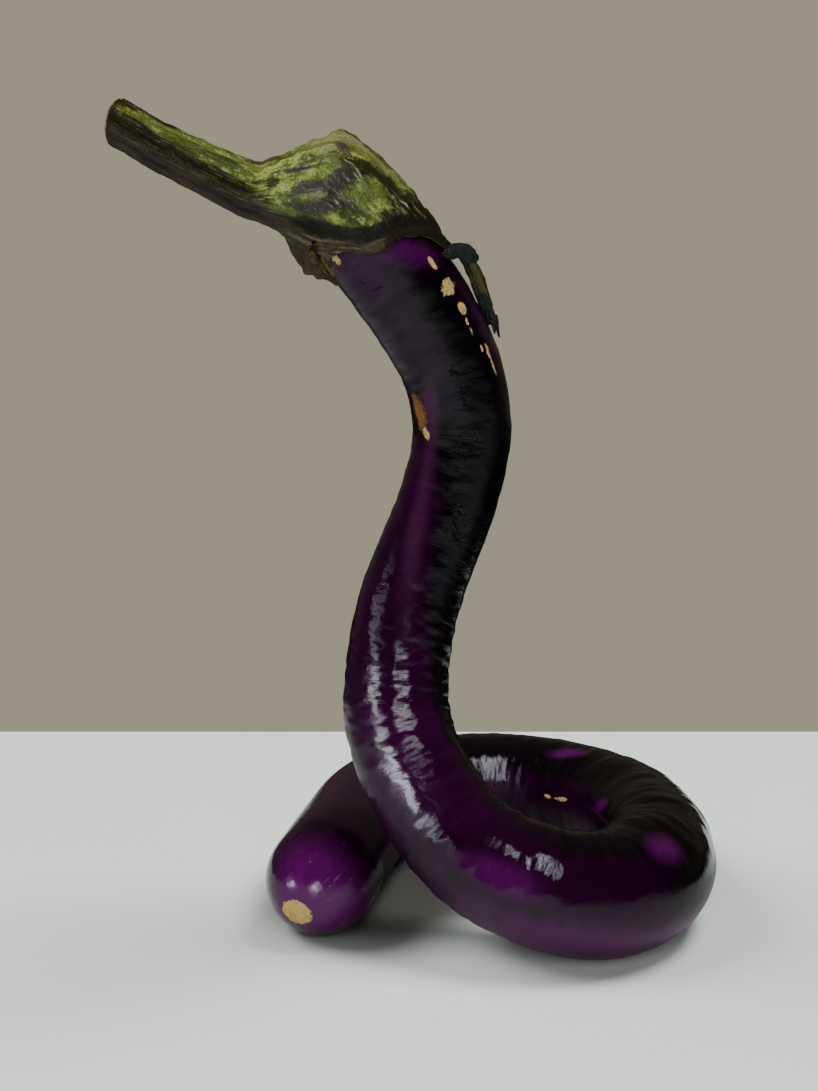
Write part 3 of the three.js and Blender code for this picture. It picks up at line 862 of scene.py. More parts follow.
def addNode(tree, kind, values=None, **settings):
    node = tree.nodes.new("ShaderNode" + kind)
    for key, value in settings.items():
        setattr(node, key, value)
    for key, value in (values or {}).items():
        if isinstance(value, bpy.types.NodeSocket):
            tree.links.new(value, node.inputs[key])
        else:
            node.inputs[key].default_value = value
    return node


def calc(tree, operation, a, b, clamp=False):
    return addNode(tree, "Math", {0: a, 1: b}, operation=operation, use_clamp=clamp).outputs[0]


def times(tree, a, b):
    return calc(tree, "MULTIPLY", a, b)


def plus(tree, a, *more):
    for b in more:
        a = calc(tree, "ADD", a, b)
    return a


def most(tree, a, *more):
    for b in more:
        a = calc(tree, "MAXIMUM", a, b)
    return a


def ease(tree, value, start, stop, low=0.0, high=1.0):  # low before start, high after stop
    values = {"Value": value, "From Min": start, "From Max": stop, "To Min": low, "To Max": high}
    return addNode(tree, "MapRange", values, interpolation_type="SMOOTHSTEP").outputs["Result"]


def paint(tree, share, under, over):  # the colour over laid on the colour under
    under, over = ((*colour, 1) if isinstance(colour, tuple) else colour for colour in (under, over))
    return addNode(tree, "Mix", {0: share, 6: under, 7: over}, data_type="RGBA").outputs[2]


def ramp(tree, grain, colours, start, stop, under, over):  # from one named colour to the other as the grain rises
    return paint(tree, ease(tree, grain, start, stop), colours[under], colours[over])


def layOn(tree, colour, *layers):  # each layer is where it lies and its colour
    for share, over in layers:
        colour = paint(tree, share, colour, over)
    return colour


def partsOf(tree, vector):
    return addNode(tree, "SeparateXYZ", {0: vector}).outputs


def attributeOf(tree, name):
    return addNode(tree, "Attribute", attribute_name=name).outputs["Vector"]


def placeOf(tree):
    return addNode(tree, "TexCoord").outputs["Object"]


def stretched(tree, vector, amounts):
    return addNode(tree, "VectorMath", {0: vector, 1: amounts}, operation="MULTIPLY").outputs["Vector"]


def grainOf(tree, vector, scale, detail=3, roughness=0.6, distortion=0.0):
    return addNode(tree, "TexNoise", {"Vector": vector, "Scale": scale, "Detail": detail, "Roughness": roughness,
                                      "Distortion": distortion}).outputs["Fac"]


def roughened(tree, amount, *grains):  # each grain, with its strength, breaks up the edge of a tone from 0 to 1
    for grain, spread in grains:
        amount = plus(tree, amount, times(tree, calc(tree, "SUBTRACT", grain, 0.5), spread))
    return amount


def newGroup(name, inputs, outputs):
    group = bpy.data.node_groups.new(name, "ShaderNodeTree")
    for label, kind in inputs.items():
        group.interface.new_socket(label, in_out="INPUT", socket_type="NodeSocket" + kind)
    for label in outputs:
        group.interface.new_socket(label, in_out="OUTPUT", socket_type="NodeSocketFloat")
    return group, group.nodes.new("NodeGroupInput").outputs, group.nodes.new("NodeGroupOutput").inputs


def useGroup(tree, group, values):
    return addNode(tree, "Group", values, node_tree=group).outputs


def makeMarkGroup():  # a long round mark at a place on the skin, with a ragged or a soft edge
    inputs = dict.fromkeys(("Place", "Centre", "Turn", "Reach"), "Vector") | dict.fromkeys(("Ragged", "Soft"), "Float")
    group, given, out = newGroup("skinMark", inputs, ["Mask"])
    local = addNode(group, "Mapping", {"Vector": given["Place"], "Location": given["Centre"], "Rotation": given["Turn"],
                                       "Scale": given["Reach"]}, vector_type="TEXTURE").outputs["Vector"]
    away = addNode(group, "VectorMath", {0: local}, operation="LENGTH").outputs["Value"]
    away = roughened(group, away, (grainOf(group, given["Place"], 900), given["Ragged"]))
    inner, outer = (calc(group, operation, 1.0, given["Soft"]) for operation in ("SUBTRACT", "ADD"))
    group.links.new(ease(group, away, outer, inner), out["Mask"])
    return group


def makeFibreGroup():  # streaks that run along the way, and finer ones between them
    inputs = {"Way": "Vector", "Count": "Float", "Length": "Float"}
    group, given, out = newGroup("fibres", inputs, ["Streaks", "Threads"])
    scale = addNode(group, "CombineXYZ", {0: given["Count"], 1: given["Count"], 2: given["Length"]}).outputs[0]
    drawn = stretched(group, given["Way"], scale)
    group.links.new(grainOf(group, drawn, 1.0, 3, 0.55, 0.3), out["Streaks"])
    group.links.new(grainOf(group, stretched(group, drawn, (3.3, 3.3, 1.8)), 1.0, 2), out["Threads"])
    return group


def makeCorkGroup():  # dry cork and shrivelled leaf: grains and pits
    group, given, out = newGroup("corkGrain", {"Place": "Vector", "Scale": "Float"}, ["Grain", "Pits"])
    group.links.new(grainOf(group, given["Place"], given["Scale"], 4, 0.65), out["Grain"])
    cells = addNode(group, "TexVoronoi", {"Vector": given["Place"], "Scale": given["Scale"], "Randomness": 1.0})
    group.links.new(ease(group, cells.outputs["Distance"], 0.12, 0.34), out["Pits"])
    return group


markGroup, fibreGroup, corkGroup = makeMarkGroup(), makeFibreGroup(), makeCorkGroup()


def newFinish(name, **plain):  # a material with its plain numbers set on the shader
    finish = bpy.data.materials.new(name)
    finish.use_nodes = True
    shader = finish.node_tree.nodes["Principled BSDF"]
    for key, value in plain.items():
        shader.inputs[key.replace("_", " ")].default_value = value
    return finish, finish.node_tree, shader


def bumpTo(tree, shader, height, distance):
    bump = addNode(tree, "Bump", {"Height": height, "Distance": distance * mm, "Strength": 1.0})
    tree.links.new(bump.outputs["Normal"], shader.inputs["Normal"])


# centre, a point further along the mark, half length, half width, ragged edge, soft edge
tanScars = {
    "drop": ((1.0, -24.4, 174.8), (2.1, -24.2, 173.3), 1.9, 0.8, 0.6, 0.12),
    "torn": ((5.0, -23.5, 168.9), (4.7, -24.4, 166.5), 2.4, 1.9, 1.5, 0.08),
    "third": ((8.8, -22.6, 163.6), (9.5, -22.6, 162.1), 1.75, 1.25, 0.7, 0.1),
    "threadHigh": ((10.1, -22.7, 160.1), (10.5, -22.7, 159.1), 1.3, 0.42, 1.7, 0.15),
    "threadLow": ((11.3, -22.5, 157.7), (11.8, -22.4, 156.5), 1.5, 0.36, 1.7, 0.15),
    "fleck": ((14.0, -21.5, 153.4), (14.3, -21.5, 152.5), 1.0, 0.4, 0.9, 0.15),
    "tailHigh": ((15.9, -20.0, 152.3), (16.5, -19.9, 150.9), 2.0, 0.62, 2.2, 0.12),
    "tailLow": ((17.3, -19.5, 148.8), (18.1, -19.1, 146.6), 2.6, 0.38, 2.2, 0.12),
    "coilLeft": ((38.2, 22.5, 17.9), (39.4, 21.4, 17.8), 1.35, 0.6, 0.8, 0.2),
    "coilRight": ((42.2, 17.9, 18.5), (43.4, 16.4, 18.9), 2.1, 0.75, 1.0, 0.2),
    "coilThread": ((40.2, 19.9, 18.1), (41.4, 18.9, 18.2), 2.0, 0.35, 0.9, 0.3),
    "bendFoot": ((-0.2, -19.0, 131.2), (0.3, -19.6, 129.6), 1.9, 1.0, 1.0, 0.15),
    "knob": ((-23.7, -23.0, 176.2), (-23.0, -23.0, 175.2), 1.9, 1.2, 1.8, 0.25),
}
rustScars = {
    "bend": ((-2.9, -17.9, 136.6), (-1.4, -18.9, 131.8), 4.9, 2.1, 1.2, 0.4),
}
dullSpots = {
    "dents": ((8.7, -23.9, 148.3), (10.2, -23.9, 148.7), 3.2, 1.5, 2.2, 0.2),
    "dentsLow": ((9.4, -23.6, 143.6), (11.0, -23.7, 144.0), 2.1, 0.5, 2.0, 0.2),
    "dentsFoot": ((9.2, -23.6, 140.9), (9.6, -23.6, 138.6), 2.4, 0.5, 2.0, 0.2),
    "blotch": ((10.7, -23.3, 128.2), (12.2, -23.3, 128.3), 3.2, 2.9, 1.6, 0.4),
    "blotchLow": ((9.0, -24.6, 107.0), (9.2, -24.4, 103.0), 4.2, 2.2, 1.6, 0.4),
    "scratch": ((-13.5, -25.1, 168.3), (-11.9, -25.9, 168.7), 1.9, 0.3, 0.5, 0.3),
    "scratchUp": ((-17.1, -24.3, 170.1), (-16.9, -24.4, 169.6), 0.8, 0.35, 0.8, 0.3),
}
# painted light: magenta patches laid on the skin where the light falls brightest
paintedLightPatches = {
    "front": ((16.5, -57.2, 25.2), (22, -59.3, 23.6), 9.5, 3.4, 0.2, 0.7),
    "right": ((59.3, -46.1, 28.0), (62.9, -44.3, 27.6), 4.2, 3.6, 0.3, 0.8),
    "back": ((45.4, 29.3, 29.8), (50.3, 26.6, 30.6), 5.2, 2.2, 0.3, 0.8),
    "inner": ((50.7, -2.7, 23.6), (51.7, -6.4, 24.9), 3.6, 2.0, 0.2, 0.6),
    "underCalyx": ((-5.6, -26.8, 178.0), (2.4, -25.2, 176.8), 9.5, 3.4, 0.3, 0.8),
    "cap": ((-28.0, -44.0, 16.5), (-25, -46, 12), 12.0, 10.0, 0.1, 0.5),
}
# painted sheen: a dim mauve reflection down the neck, laid into the colour
paintedSheenStreak = {
    "streak": ((-1.6, -23.0, 123.0), (-4.4, -26.4, 100), 34.0, 2.6, 0.25, 0.8),
}


def markMask(tree, place, marks):  # all the marks of one kind together
    masks = []
    for centre, onward, halfLong, halfWide, ragged, soft in marks.values():
        turn = (Vector(onward) - Vector(centre)).to_track_quat("X", "Z").to_euler()
        values = {"Place": place, "Centre": Vector(centre) * mm, "Turn": turn, "Ragged": ragged, "Soft": soft,
                  "Reach": Vector((halfLong, halfWide, halfWide)) * mm}
        masks.append(useGroup(tree, markGroup, values)["Mask"])
    return most(tree, *masks)


skinColours = {
    "night": (0.0018, 0.0008, 0.0016),
    "dusk": (0.0150, 0.0030, 0.0120),
    "aubergine": (0.0066, 0.0002, 0.0054),
    "plum": (0.0135, 0.0002, 0.0115),
    "violet": (0.0400, 0.0007, 0.0375),
    # painted sheen, for the streak down the neck
    "mauve": (0.052, 0.010, 0.041),
    # painted light, for the magenta patches
    "magenta": (0.056, 0.0, 0.056),
    "tan": (0.52, 0.38, 0.14),
    "tanDeep": (0.30, 0.19, 0.06),
    "rust": (0.17, 0.075, 0.013),
    "rustDeep": (0.06, 0.028, 0.008),
    "cork": (0.12, 0.075, 0.014),
    "corkDeep": (0.020, 0.012, 0.004),
    "fleck": (0.20, 0.08, 0.19),
    "blossom": (0.37, 0.265, 0.075),
    "pit": (0.085, 0.048, 0.016),
}
skinLook = {
    "ior": 1.335,
    # how often each grain comes round the skin, twice, and along it; then the detail and roughness of its noise
    "broad": ((1.1, 1.1, 0.6), 3, 0.55), "mottle": ((5, 5, 9), 3, 0.6), "flame": ((1.6, 1.6, 5), 3, 0.6),
    "dulling": ((1.4, 1.4, 1.1), 2, 0.5), "ripple": ((3.6, 3.6, 7), 3, 0.6), "wrinkle": ((7, 7, 30), 3, 0.6),
    # the tones at which each purple begins and is full, and how far the grain breaks up its edge
    "aubergine": (0.08, 0.55), "plum": (0.35, 0.9), "violet": (0.95, 1.8), "ragged": 0.9,
    "warmth": (0.3, 0.62, 0.3, 1.0), "glowGrain": (0.2, 0.75, 0.6, 1.0),
    # flecks and dots round the blossom end
    "fleckFibres": (4.5, 2.2), "fleckThreads": (0.6, 0.75), "fleckStreaks": (0.45, 0.65), "fleckReach": (0.95, 0.4),
    "dots": 300.0, "dotSize": (0.10, 0.05), "dotReach": (1.5, 0.7), "fleckShare": 0.4,
    # cork and scars
    "corkScale": 1500.0, "corkRagged": 0.5, "corkFrom": (0.35, 0.6), "pitShare": 0.85, "dullShare": 0.8,
    "tanRamp": (0.42, 0.66, "tan", "tanDeep"), "dryRamp": (0.42, 0.66, "blossom", "tanDeep"),
    "rustRamp": (0.46, 0.8, "rust", "rustDeep"), "corkRamp": (0.42, 0.62, "cork", "corkDeep"),
    "blossomScar": (4.1, 4.4, 3.7), "blossomRagged": 0.55, "blossomSoft": 0.06,
    # roughness of clean skin, and what dusk, haze, height and scars add to it
    "rough": (0.35, 0.7, 0.08, 0.13), "duskRough": 0.14, "hazeRough": 0.34, "heightRough": 0.07, "scarRough": 0.5,
    # how much the wrinkles, the cork and the dents stand in the relief, and its height in millimetres
    "wrinkles": 0.6, "corkRelief": 3.5, "dents": -4.0, "bump": 0.1,
}


def makeSkinFinish():
    look, colours = skinLook, skinColours
    finish, tree, shader = newFinish("aubergineSkin", IOR=look["ior"])
    place, way = placeOf(tree), attributeOf(tree, "skinWay")
    tone, haze = (partsOf(tree, attributeOf(tree, name)) for name in ("skinTone", "skinHaze"))
    grains = {}
    for name in ("broad", "mottle", "flame", "dulling", "ripple", "wrinkle"):
        amounts, detail, roughness = look[name]
        grains[name] = grainOf(tree, stretched(tree, way, amounts), 1.0, detail, roughness)
    mottle = grains["mottle"]
    purple = roughened(tree, tone[0], (grains["flame"], look["ragged"]))
    warm = times(tree, ease(tree, purple, *look["plum"]), ease(tree, grains["broad"], *look["warmth"]))
    # purple above one turns violet, mostly where the skin faces down: painted light from the table below
    colour = layOn(tree, colours["night"], (tone[1], colours["dusk"]),
                   (ease(tree, purple, *look["aubergine"]), colours["aubergine"]), (warm, colours["plum"]),
                   (ease(tree, purple, *look["violet"]), colours["violet"]))
    # painted light and painted sheen: the magenta patches and the mauve streak down the neck
    for marks, over in ((paintedSheenStreak, "mauve"), (paintedLightPatches, "magenta")):
        glow = times(tree, markMask(tree, place, marks), ease(tree, mottle, *look["glowGrain"]))
        colour = paint(tree, glow, colour, colours[over])
    # pale flecks round the blossom end, drawn out along the skin, with dots between them
    distance, (count, length) = partsOf(tree, way)["Z"], look["fleckFibres"]
    radial = useGroup(tree, fibreGroup, {"Way": way, "Count": count, "Length": length})
    fleck = times(tree, ease(tree, radial["Threads"], *look["fleckThreads"]),
                  ease(tree, radial["Streaks"], *look["fleckStreaks"]))
    fleck = times(tree, fleck, ease(tree, distance, *look["fleckReach"]))
    dots = addNode(tree, "TexVoronoi", {"Vector": place, "Scale": look["dots"], "Randomness": 1.0}).outputs["Distance"]
    dots = times(tree, ease(tree, dots, *look["dotSize"]), ease(tree, distance, *look["dotReach"]))
    flecks = times(tree, most(tree, fleck, dots), look["fleckShare"])
    # dull dents, corky scars, the cork beside the calyx and the blossom scar
    cork = useGroup(tree, corkGroup, {"Place": place, "Scale": look["corkScale"]})
    tanMask, rustMask, dullMask = (markMask(tree, place, marks) for marks in (tanScars, rustScars, dullSpots))
    corkMask = ease(tree, roughened(tree, tone[2], (mottle, look["corkRagged"])), *look["corkFrom"])
    endMask = useGroup(tree, markGroup, {
        "Place": place, "Centre": fruitSection(0.2)[0] * mm, "Turn": (0, 0, 0), "Ragged": look["blossomRagged"],
        "Reach": Vector(look["blossomScar"]) * mm, "Soft": look["blossomSoft"]})["Mask"]
    tan, dry, rust = (ramp(tree, cork["Grain"], colours, *look[name]) for name in ("tanRamp", "dryRamp", "rustRamp"))
    corky = ramp(tree, mottle, colours, *look["corkRamp"])
    pits = times(tree, calc(tree, "SUBTRACT", 1.0, cork["Pits"]), look["pitShare"])
    dents = times(tree, dullMask, look["dullShare"])
    colour = layOn(tree, colour, (flecks, colours["fleck"]), (dents, colours["night"]), (corkMask, corky),
                   (rustMask, rust), (tanMask, tan), (endMask, paint(tree, pits, dry, colours["pit"])))
    tree.links.new(colour, shader.inputs["Base Color"])
    scar = most(tree, tanMask, endMask, rustMask, corkMask)
    rough = plus(tree, ease(tree, grains["dulling"], *look["rough"]), times(tree, tone[1], look["duskRough"]),
                 times(tree, haze[0], look["hazeRough"]), times(tree, haze[1], look["heightRough"]))
    rough = calc(tree, "ADD", rough, times(tree, scar, look["scarRough"]), clamp=True)
    tree.links.new(rough, shader.inputs["Roughness"])
    # cross ripples, broken fine wrinkles and the relief of the cork
    height = plus(tree, grains["ripple"], times(tree, grains["wrinkle"], look["wrinkles"]),
                  times(tree, scar, times(tree, cork["Grain"], look["corkRelief"])),
                  times(tree, dullMask, look["dents"]))
    bumpTo(tree, shader, height, look["bump"])
    return finish


stemColours = {
    "oliveDeep": (0.016, 0.012, 0.004),
    "olive": (0.070, 0.060, 0.020),
    "leafDeep": (0.035, 0.042, 0.011),
    "leaf": (0.090, 0.116, 0.023),
    "leafBright": (0.235, 0.275, 0.048),
    "khaki": (0.150, 0.142, 0.054),
    # painted highlight: pale streaks along the fibres, partly the calyx's waxy bloom and partly painted sheen
    "sheen": (0.36, 0.39, 0.26),
    "patch": (0.032, 0.020, 0.021),
    "patchPale": (0.085, 0.074, 0.060),
    "brown": (0.031, 0.019, 0.011),
    "brownDeep": (0.009, 0.005, 0.003),
    "lip": (0.043, 0.033, 0.015),
    "lipDeep": (0.020, 0.016, 0.008),
    "brownPale": (0.104, 0.085, 0.042),
    # dark: also the painted shade in the crease over the lip
    "dark": (0.009, 0.008, 0.004),
    "pith": (0.24, 0.18, 0.05),
    "inner": (0.090, 0.056, 0.011),
    "innerDeep": (0.016, 0.010, 0.003),
    "charcoal": (0.013, 0.015, 0.014),
    "speck": (0.11, 0.12, 0.10),
}
lightPatches = {
    "left": ((-36.5, -26.5, 198.6), (-28, -28.5, 201.3), 10.5, 4.8, 0.6, 0.7),
    "leftFoot": ((-38.5, -25.5, 193.5), (-32, -27.5, 193.5), 6.5, 2.6, 0.6, 0.7),
    "strip": ((-31.5, -28.6, 195.3), (-25, -29.5, 197.2), 6.5, 1.5, 0.8, 0.6),
    "top": ((-21.0, -27.5, 201.0), (-16, -26.5, 200), 6.0, 2.2, 0.8, 0.6),
    "foot": ((-19, -29.8, 184.6), (-13, -29.5, 184.0), 5.5, 1.5, 0.8, 0.6),
    "footRight": ((-12.5, -29.0, 186.5), (-11.0, -29.0, 184.5), 2.6, 1.6, 0.8, 0.6),
}
purplePatches = {
    "peak": ((-21.4, -27.0, 203.0), (-20.8, -28.2, 200.5), 3.6, 2.0, 1.0, 0.5),
    "left": ((-30.7, -28.6, 192.9), (-27, -29, 193.2), 5.0, 1.9, 1.0, 0.5),
    "low": ((-25.4, -29.7, 188.4), (-22, -29.9, 188.6), 5.6, 2.2, 1.0, 0.5),
    "middle": ((-22.4, -29.4, 193.8), (-19.8, -29.8, 196.8), 5.6, 2.9, 1.0, 0.5),
    "furrow": ((-33.5, -27.2, 197.7), (-30.6, -28.6, 198), 4.4, 0.9, 1.0, 0.5),
    "foot": ((-30.5, -28, 187.6), (-27, -28.5, 186.5), 4.0, 0.9, 1.0, 0.5),
    "back": ((-20, 0, 196.0), (-16, 0, 193), 6.5, 3.5, 1.3, 0.4),
    "backLow": ((-28, -3, 190.0), (-24, -2, 188), 6.0, 2.8, 1.3, 0.4),
}
darkPatches = {
    "brow": ((-15.5, -27.0, 197.6), (-12.4, -25.6, 196.6), 6.2, 2.3, 0.9, 0.5),
    "band": ((-9.6, -25.4, 194.0), (-7.8, -25, 191.6), 6.5, 3.0, 0.9, 0.5),
    "shoulder": ((-4.2, -24.4, 189.2), (-0.9, -21.5, 187), 8.5, 4.2, 0.9, 0.5),
    "foot": ((-7.0, -27.2, 185.6), (-3.5, -25.6, 185.2), 6.5, 2.0, 0.9, 0.5),
}
khakiPatches = {
    "peak": ((-24, -21, 207.0), (-18, -20.5, 206.4), 8.5, 4.2, 0.8, 0.5),
    "rightEdge": ((-13.5, -21.5, 201.5), (-7, -20.5, 194.4), 10.0, 2.8, 0.9, 0.5),
    "grey": ((-26.0, -27.4, 202.6), (-24.4, -27.4, 203.8), 3.0, 1.9, 1.0, 0.5),
    "stalkEnd": ((-75.4, -36.6, 208.3), (-74, -36.2, 207.6), 1.4, 1.1, 0.9, 0.4),
    "stalkSpot": ((-71.2, -34.8, 206.1), (-70, -34.5, 205.5), 1.4, 1.1, 0.9, 0.4),
}


stemLook = {
    "ior": 1.29, "witheredIor": 1.4,
    # fibres: how many round and how many along
    "fibres": (4.2, 1.1), "witheredFibres": (2.6, 0.5),
    # scales of the noises that follow no fibre
    "mottle": 320, "fineMottle": 1100, "speckle": (2100, 3, 0.65), "witheredCork": 1900.0, "witheredLumps": 700,
    "lipLines": 130.0,  # how many to the metre along the lip
    "cut": (0.12, 0.09), "cutEdge": (0.26, 0.14),  # how far the pith shows, and the dark edge round it
    # where a grain turns from one colour to the other
    "oliveRamp": (0.38, 0.64, "oliveDeep", "olive"), "leafRamp": (0.34, 0.54, "leafDeep", "leaf"),
    "purpleRamp": (0.55, 0.72, "patch", "patchPale"), "darkRamp": (0.5, 0.68, "dark", "olive"),
    "brownRamp": (0.36, 0.6, "brownDeep", "brown"), "lipRamp": (0.42, 0.52, "lipDeep", "lip"),
    "innerRamp": (0.42, 0.6, "inner", "innerDeep"), "charcoalRamp": (0.56, 0.74, "charcoal", "speck"),
    "freshRamp": (0.4, 0.6, "oliveDeep", "olive"),
    # where each layer begins and is full
    "leafBright": (0.57, 0.9), "greenFrom": (0.25, 0.6), "torn": (0.26, 0.74), "paleThreads": (0.54, 0.7),
    "paleMottle": (0.46, 0.62), "speckleFrom": (0.52, 0.36), "lipFrom": (1.0, 2.0), "lipAlong": (4.4, 5.2),
    "lipPale": (0.54, 0.66), "brownFrom": (0.3, 0.65), "darkFrom": (0.25, 0.7), "innerFrom": (0.35, 0.6),
    "freshFrom": (0.4, 0.75), "freshLeaf": (0.5, 0.7),
    # how strongly each layer is laid on
    "light": 0.3, "patch": 0.92, "dark": 0.95, "shade": 0.97, "sheen": 0.5, "speckles": 0.6, "edge": 0.8,
    # roughness between the fibres and on them, and what the brown and the dark add
    "rough": (0.35, 0.7, 0.52, 0.34), "brownRough": 0.14, "darkRough": 0.2, "witheredRough": (0.3, 0.7, 0.62, 0.85),
    # shares of the threads, lip lines, speckle, mottle and fine mottle in the relief, and its height in millimetres
    "threadRelief": 0.8, "lineRelief": 0.8, "speckleRelief": 0.2, "mottleRelief": 0.8,
    "fineRelief": 0.45, "darkFineRelief": 0.9, "bump": 0.4, "witheredBump": 0.8,
}


def makeStemFinish():
    look, colours = stemLook, stemColours
    finish, tree, shader = newFinish("stemSkin", IOR=look["ior"])
    place, way = placeOf(tree), attributeOf(tree, "stemWay")
    tone, side = (partsOf(tree, attributeOf(tree, name)) for name in ("stemTone", "stemSide"))
    along = partsOf(tree, way)["Z"]
    fibre = useGroup(tree, fibreGroup, {"Way": way, "Count": look["fibres"][0], "Length": look["fibres"][1]})
    streaks, threads = fibre["Streaks"], fibre["Threads"]
    mottle, fineMottle = grainOf(tree, place, look["mottle"]), grainOf(tree, place, look["fineMottle"])
    speckle = grainOf(tree, place, *look["speckle"])

    def patchy(marks, share):  # marks with torn edges, combed by the fibres
        torn = roughened(tree, markMask(tree, place, marks), (mottle, 0.9), (fineMottle, 0.9), (threads, 1.5))
        return times(tree, ease(tree, torn, *look["torn"]), share)

    def blend(grain, name):
        return ramp(tree, grain, colours, *look[name])

    light = times(tree, markMask(tree, place, lightPatches), look["light"])
    bright = plus(tree, roughened(tree, streaks, (mottle, 0.8), (fineMottle, 1.0)), light)
    bright = ease(tree, roughened(tree, bright, (threads, 0.8)), *look["leafBright"])
    green = paint(tree, bright, blend(streaks, "leafRamp"), colours["leafBright"])
    greenShare = ease(tree, roughened(tree, tone[0], (threads, 0.7), (mottle, 0.7)), *look["greenFrom"])
    purpleSkin = blend(roughened(tree, threads, (fineMottle, 0.8)), "purpleRamp")
    # pale streaks on the green: partly waxy bloom, partly painted sheen
    pale = times(tree, ease(tree, threads, *look["paleThreads"]), ease(tree, mottle, *look["paleMottle"]))
    pale = times(tree, pale, ease(tree, tone[0], 0.15, 0.6, 0, look["sheen"]))
    speckles = ease(tree, speckle, *look["speckleFrom"], 0, look["speckles"])
    colour = layOn(tree, blend(threads, "oliveRamp"), (greenShare, green), (patchy(khakiPatches, 1), colours["khaki"]),
                   (patchy(purplePatches, look["patch"]), purpleSkin),
                   (patchy(darkPatches, look["dark"]), blend(threads, "darkRamp")),
                   (pale, colours["sheen"]), (speckles, colours["oliveDeep"]))
    # the brown under side: smooth on the stalk, lines that follow the rim on the lip
    across = times(tree, partsOf(tree, place)["X"], look["lipLines"])
    lineWay = addNode(tree, "CombineXYZ", {0: side[2], 1: across}).outputs[0]
    lines = grainOf(tree, stretched(tree, lineWay, (1.5, 1, 1)), 1.0, 3, 0.6, 0.4)
    onLip = times(tree, ease(tree, side[2], *look["lipFrom"]), ease(tree, along, *look["lipAlong"]))
    lipBrown = paint(tree, ease(tree, lines, *look["lipPale"]), blend(lines, "lipRamp"), colours["brownPale"])
    brown = paint(tree, onLip, blend(streaks, "brownRamp"), lipBrown)
    brownShare = ease(tree, roughened(tree, tone[1], (streaks, 1.2)), *look["brownFrom"])
    darkShare = ease(tree, roughened(tree, tone[2], (fineMottle, 1.0)), *look["darkFrom"], 0, look["shade"])
    innerShare = ease(tree, roughened(tree, side[0], (mottle, 0.4)), *look["innerFrom"])
    fromCut = roughened(tree, along, (fineMottle, 0.06))
    cutEdge = ease(tree, fromCut, *look["cutEdge"], 0, look["edge"])
    colour = layOn(tree, colour, (brownShare, brown), (darkShare, colours["dark"]),
                   (innerShare, blend(mottle, "innerRamp")), (cutEdge, colours["oliveDeep"]),
                   (ease(tree, fromCut, *look["cut"]), colours["pith"]))
    tree.links.new(colour, shader.inputs["Base Color"])
    shaded = plus(tree, times(tree, tone[1], look["brownRough"]), times(tree, tone[2], look["darkRough"]))
    rough = calc(tree, "ADD", ease(tree, threads, *look["rough"]), shaded, clamp=True)
    tree.links.new(rough, shader.inputs["Roughness"])
    fine = plus(tree, times(tree, tone[2], look["darkFineRelief"]), look["fineRelief"])
    height = plus(tree, times(tree, threads, look["threadRelief"]),
                  times(tree, lines, times(tree, onLip, look["lineRelief"])), times(tree, fineMottle, fine),
                  times(tree, mottle, times(tree, tone[0], look["mottleRelief"])),
                  times(tree, speckle, look["speckleRelief"]))
    bumpTo(tree, shader, height, look["bump"])
    return finish


def makeWitheredFinish():
    look, colours = stemLook, stemColours
    finish, tree, shader = newFinish("witheredLeaf", IOR=look["witheredIor"])
    place, tone = placeOf(tree), partsOf(tree, attributeOf(tree, "stemTone"))
    count, length = look["witheredFibres"]
    fibre = useGroup(tree, fibreGroup, {"Way": attributeOf(tree, "stemWay"), "Count": count, "Length": length})
    grain = useGroup(tree, corkGroup, {"Place": place, "Scale": look["witheredCork"]})["Grain"]
    leaf = ease(tree, fibre["Threads"], *look["freshLeaf"])
    fresh = paint(tree, leaf, ramp(tree, fibre["Streaks"], colours, *look["freshRamp"]), colours["leaf"])
    freshShare = ease(tree, roughened(tree, tone[0], (grain, 0.8), (fibre["Streaks"], 0.8)), *look["freshFrom"])
    colour = paint(tree, freshShare, ramp(tree, grain, colours, *look["charcoalRamp"]), fresh)
    tree.links.new(colour, shader.inputs["Base Color"])
    tree.links.new(ease(tree, grain, *look["witheredRough"]), shader.inputs["Roughness"])
    bumpTo(tree, shader, plus(tree, grain, grainOf(tree, place, look["witheredLumps"])), look["witheredBump"])
    return finish


skinFinish, stemFinish, witheredFinish = makeSkinFinish(), makeStemFinish(), makeWitheredFinish()
fruitSkin.data.materials.append(skinFinish)
for piece in (stemSkin, stalkSkin, flapSkin):
    piece.data.materials.append(stemFinish)
for piece in witheredPieces:
    piece.data.materials.append(witheredFinish)
print("finishes made")


def joinPieces(main, others):
    clearSelection()
    for item in (*others, main):
        item.select_set(True)
    bpy.context.view_layer.objects.active = main
    bpy.ops.object.join()


subdivide(flapSkin, 2)
finishWith(flapSkin, "SOLIDIFY", thickness=flap["thickness"] * mm, offset=-1, use_even_offset=True, use_rim=True,
           material_offset=0, material_offset_rim=0)
joinPieces(stemSkin, [flapSkin, *witheredPieces])
calyxSkin = stemSkin
for piece, node, finish in ((calyxSkin, "calyx", "calyx_green"), (stalkSkin, "stalk", "stalk_green")):
    pick(piece)
    bpy.ops.object.shade_smooth()
    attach(piece, "root")
    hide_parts(node)


# Camera, table and lamps

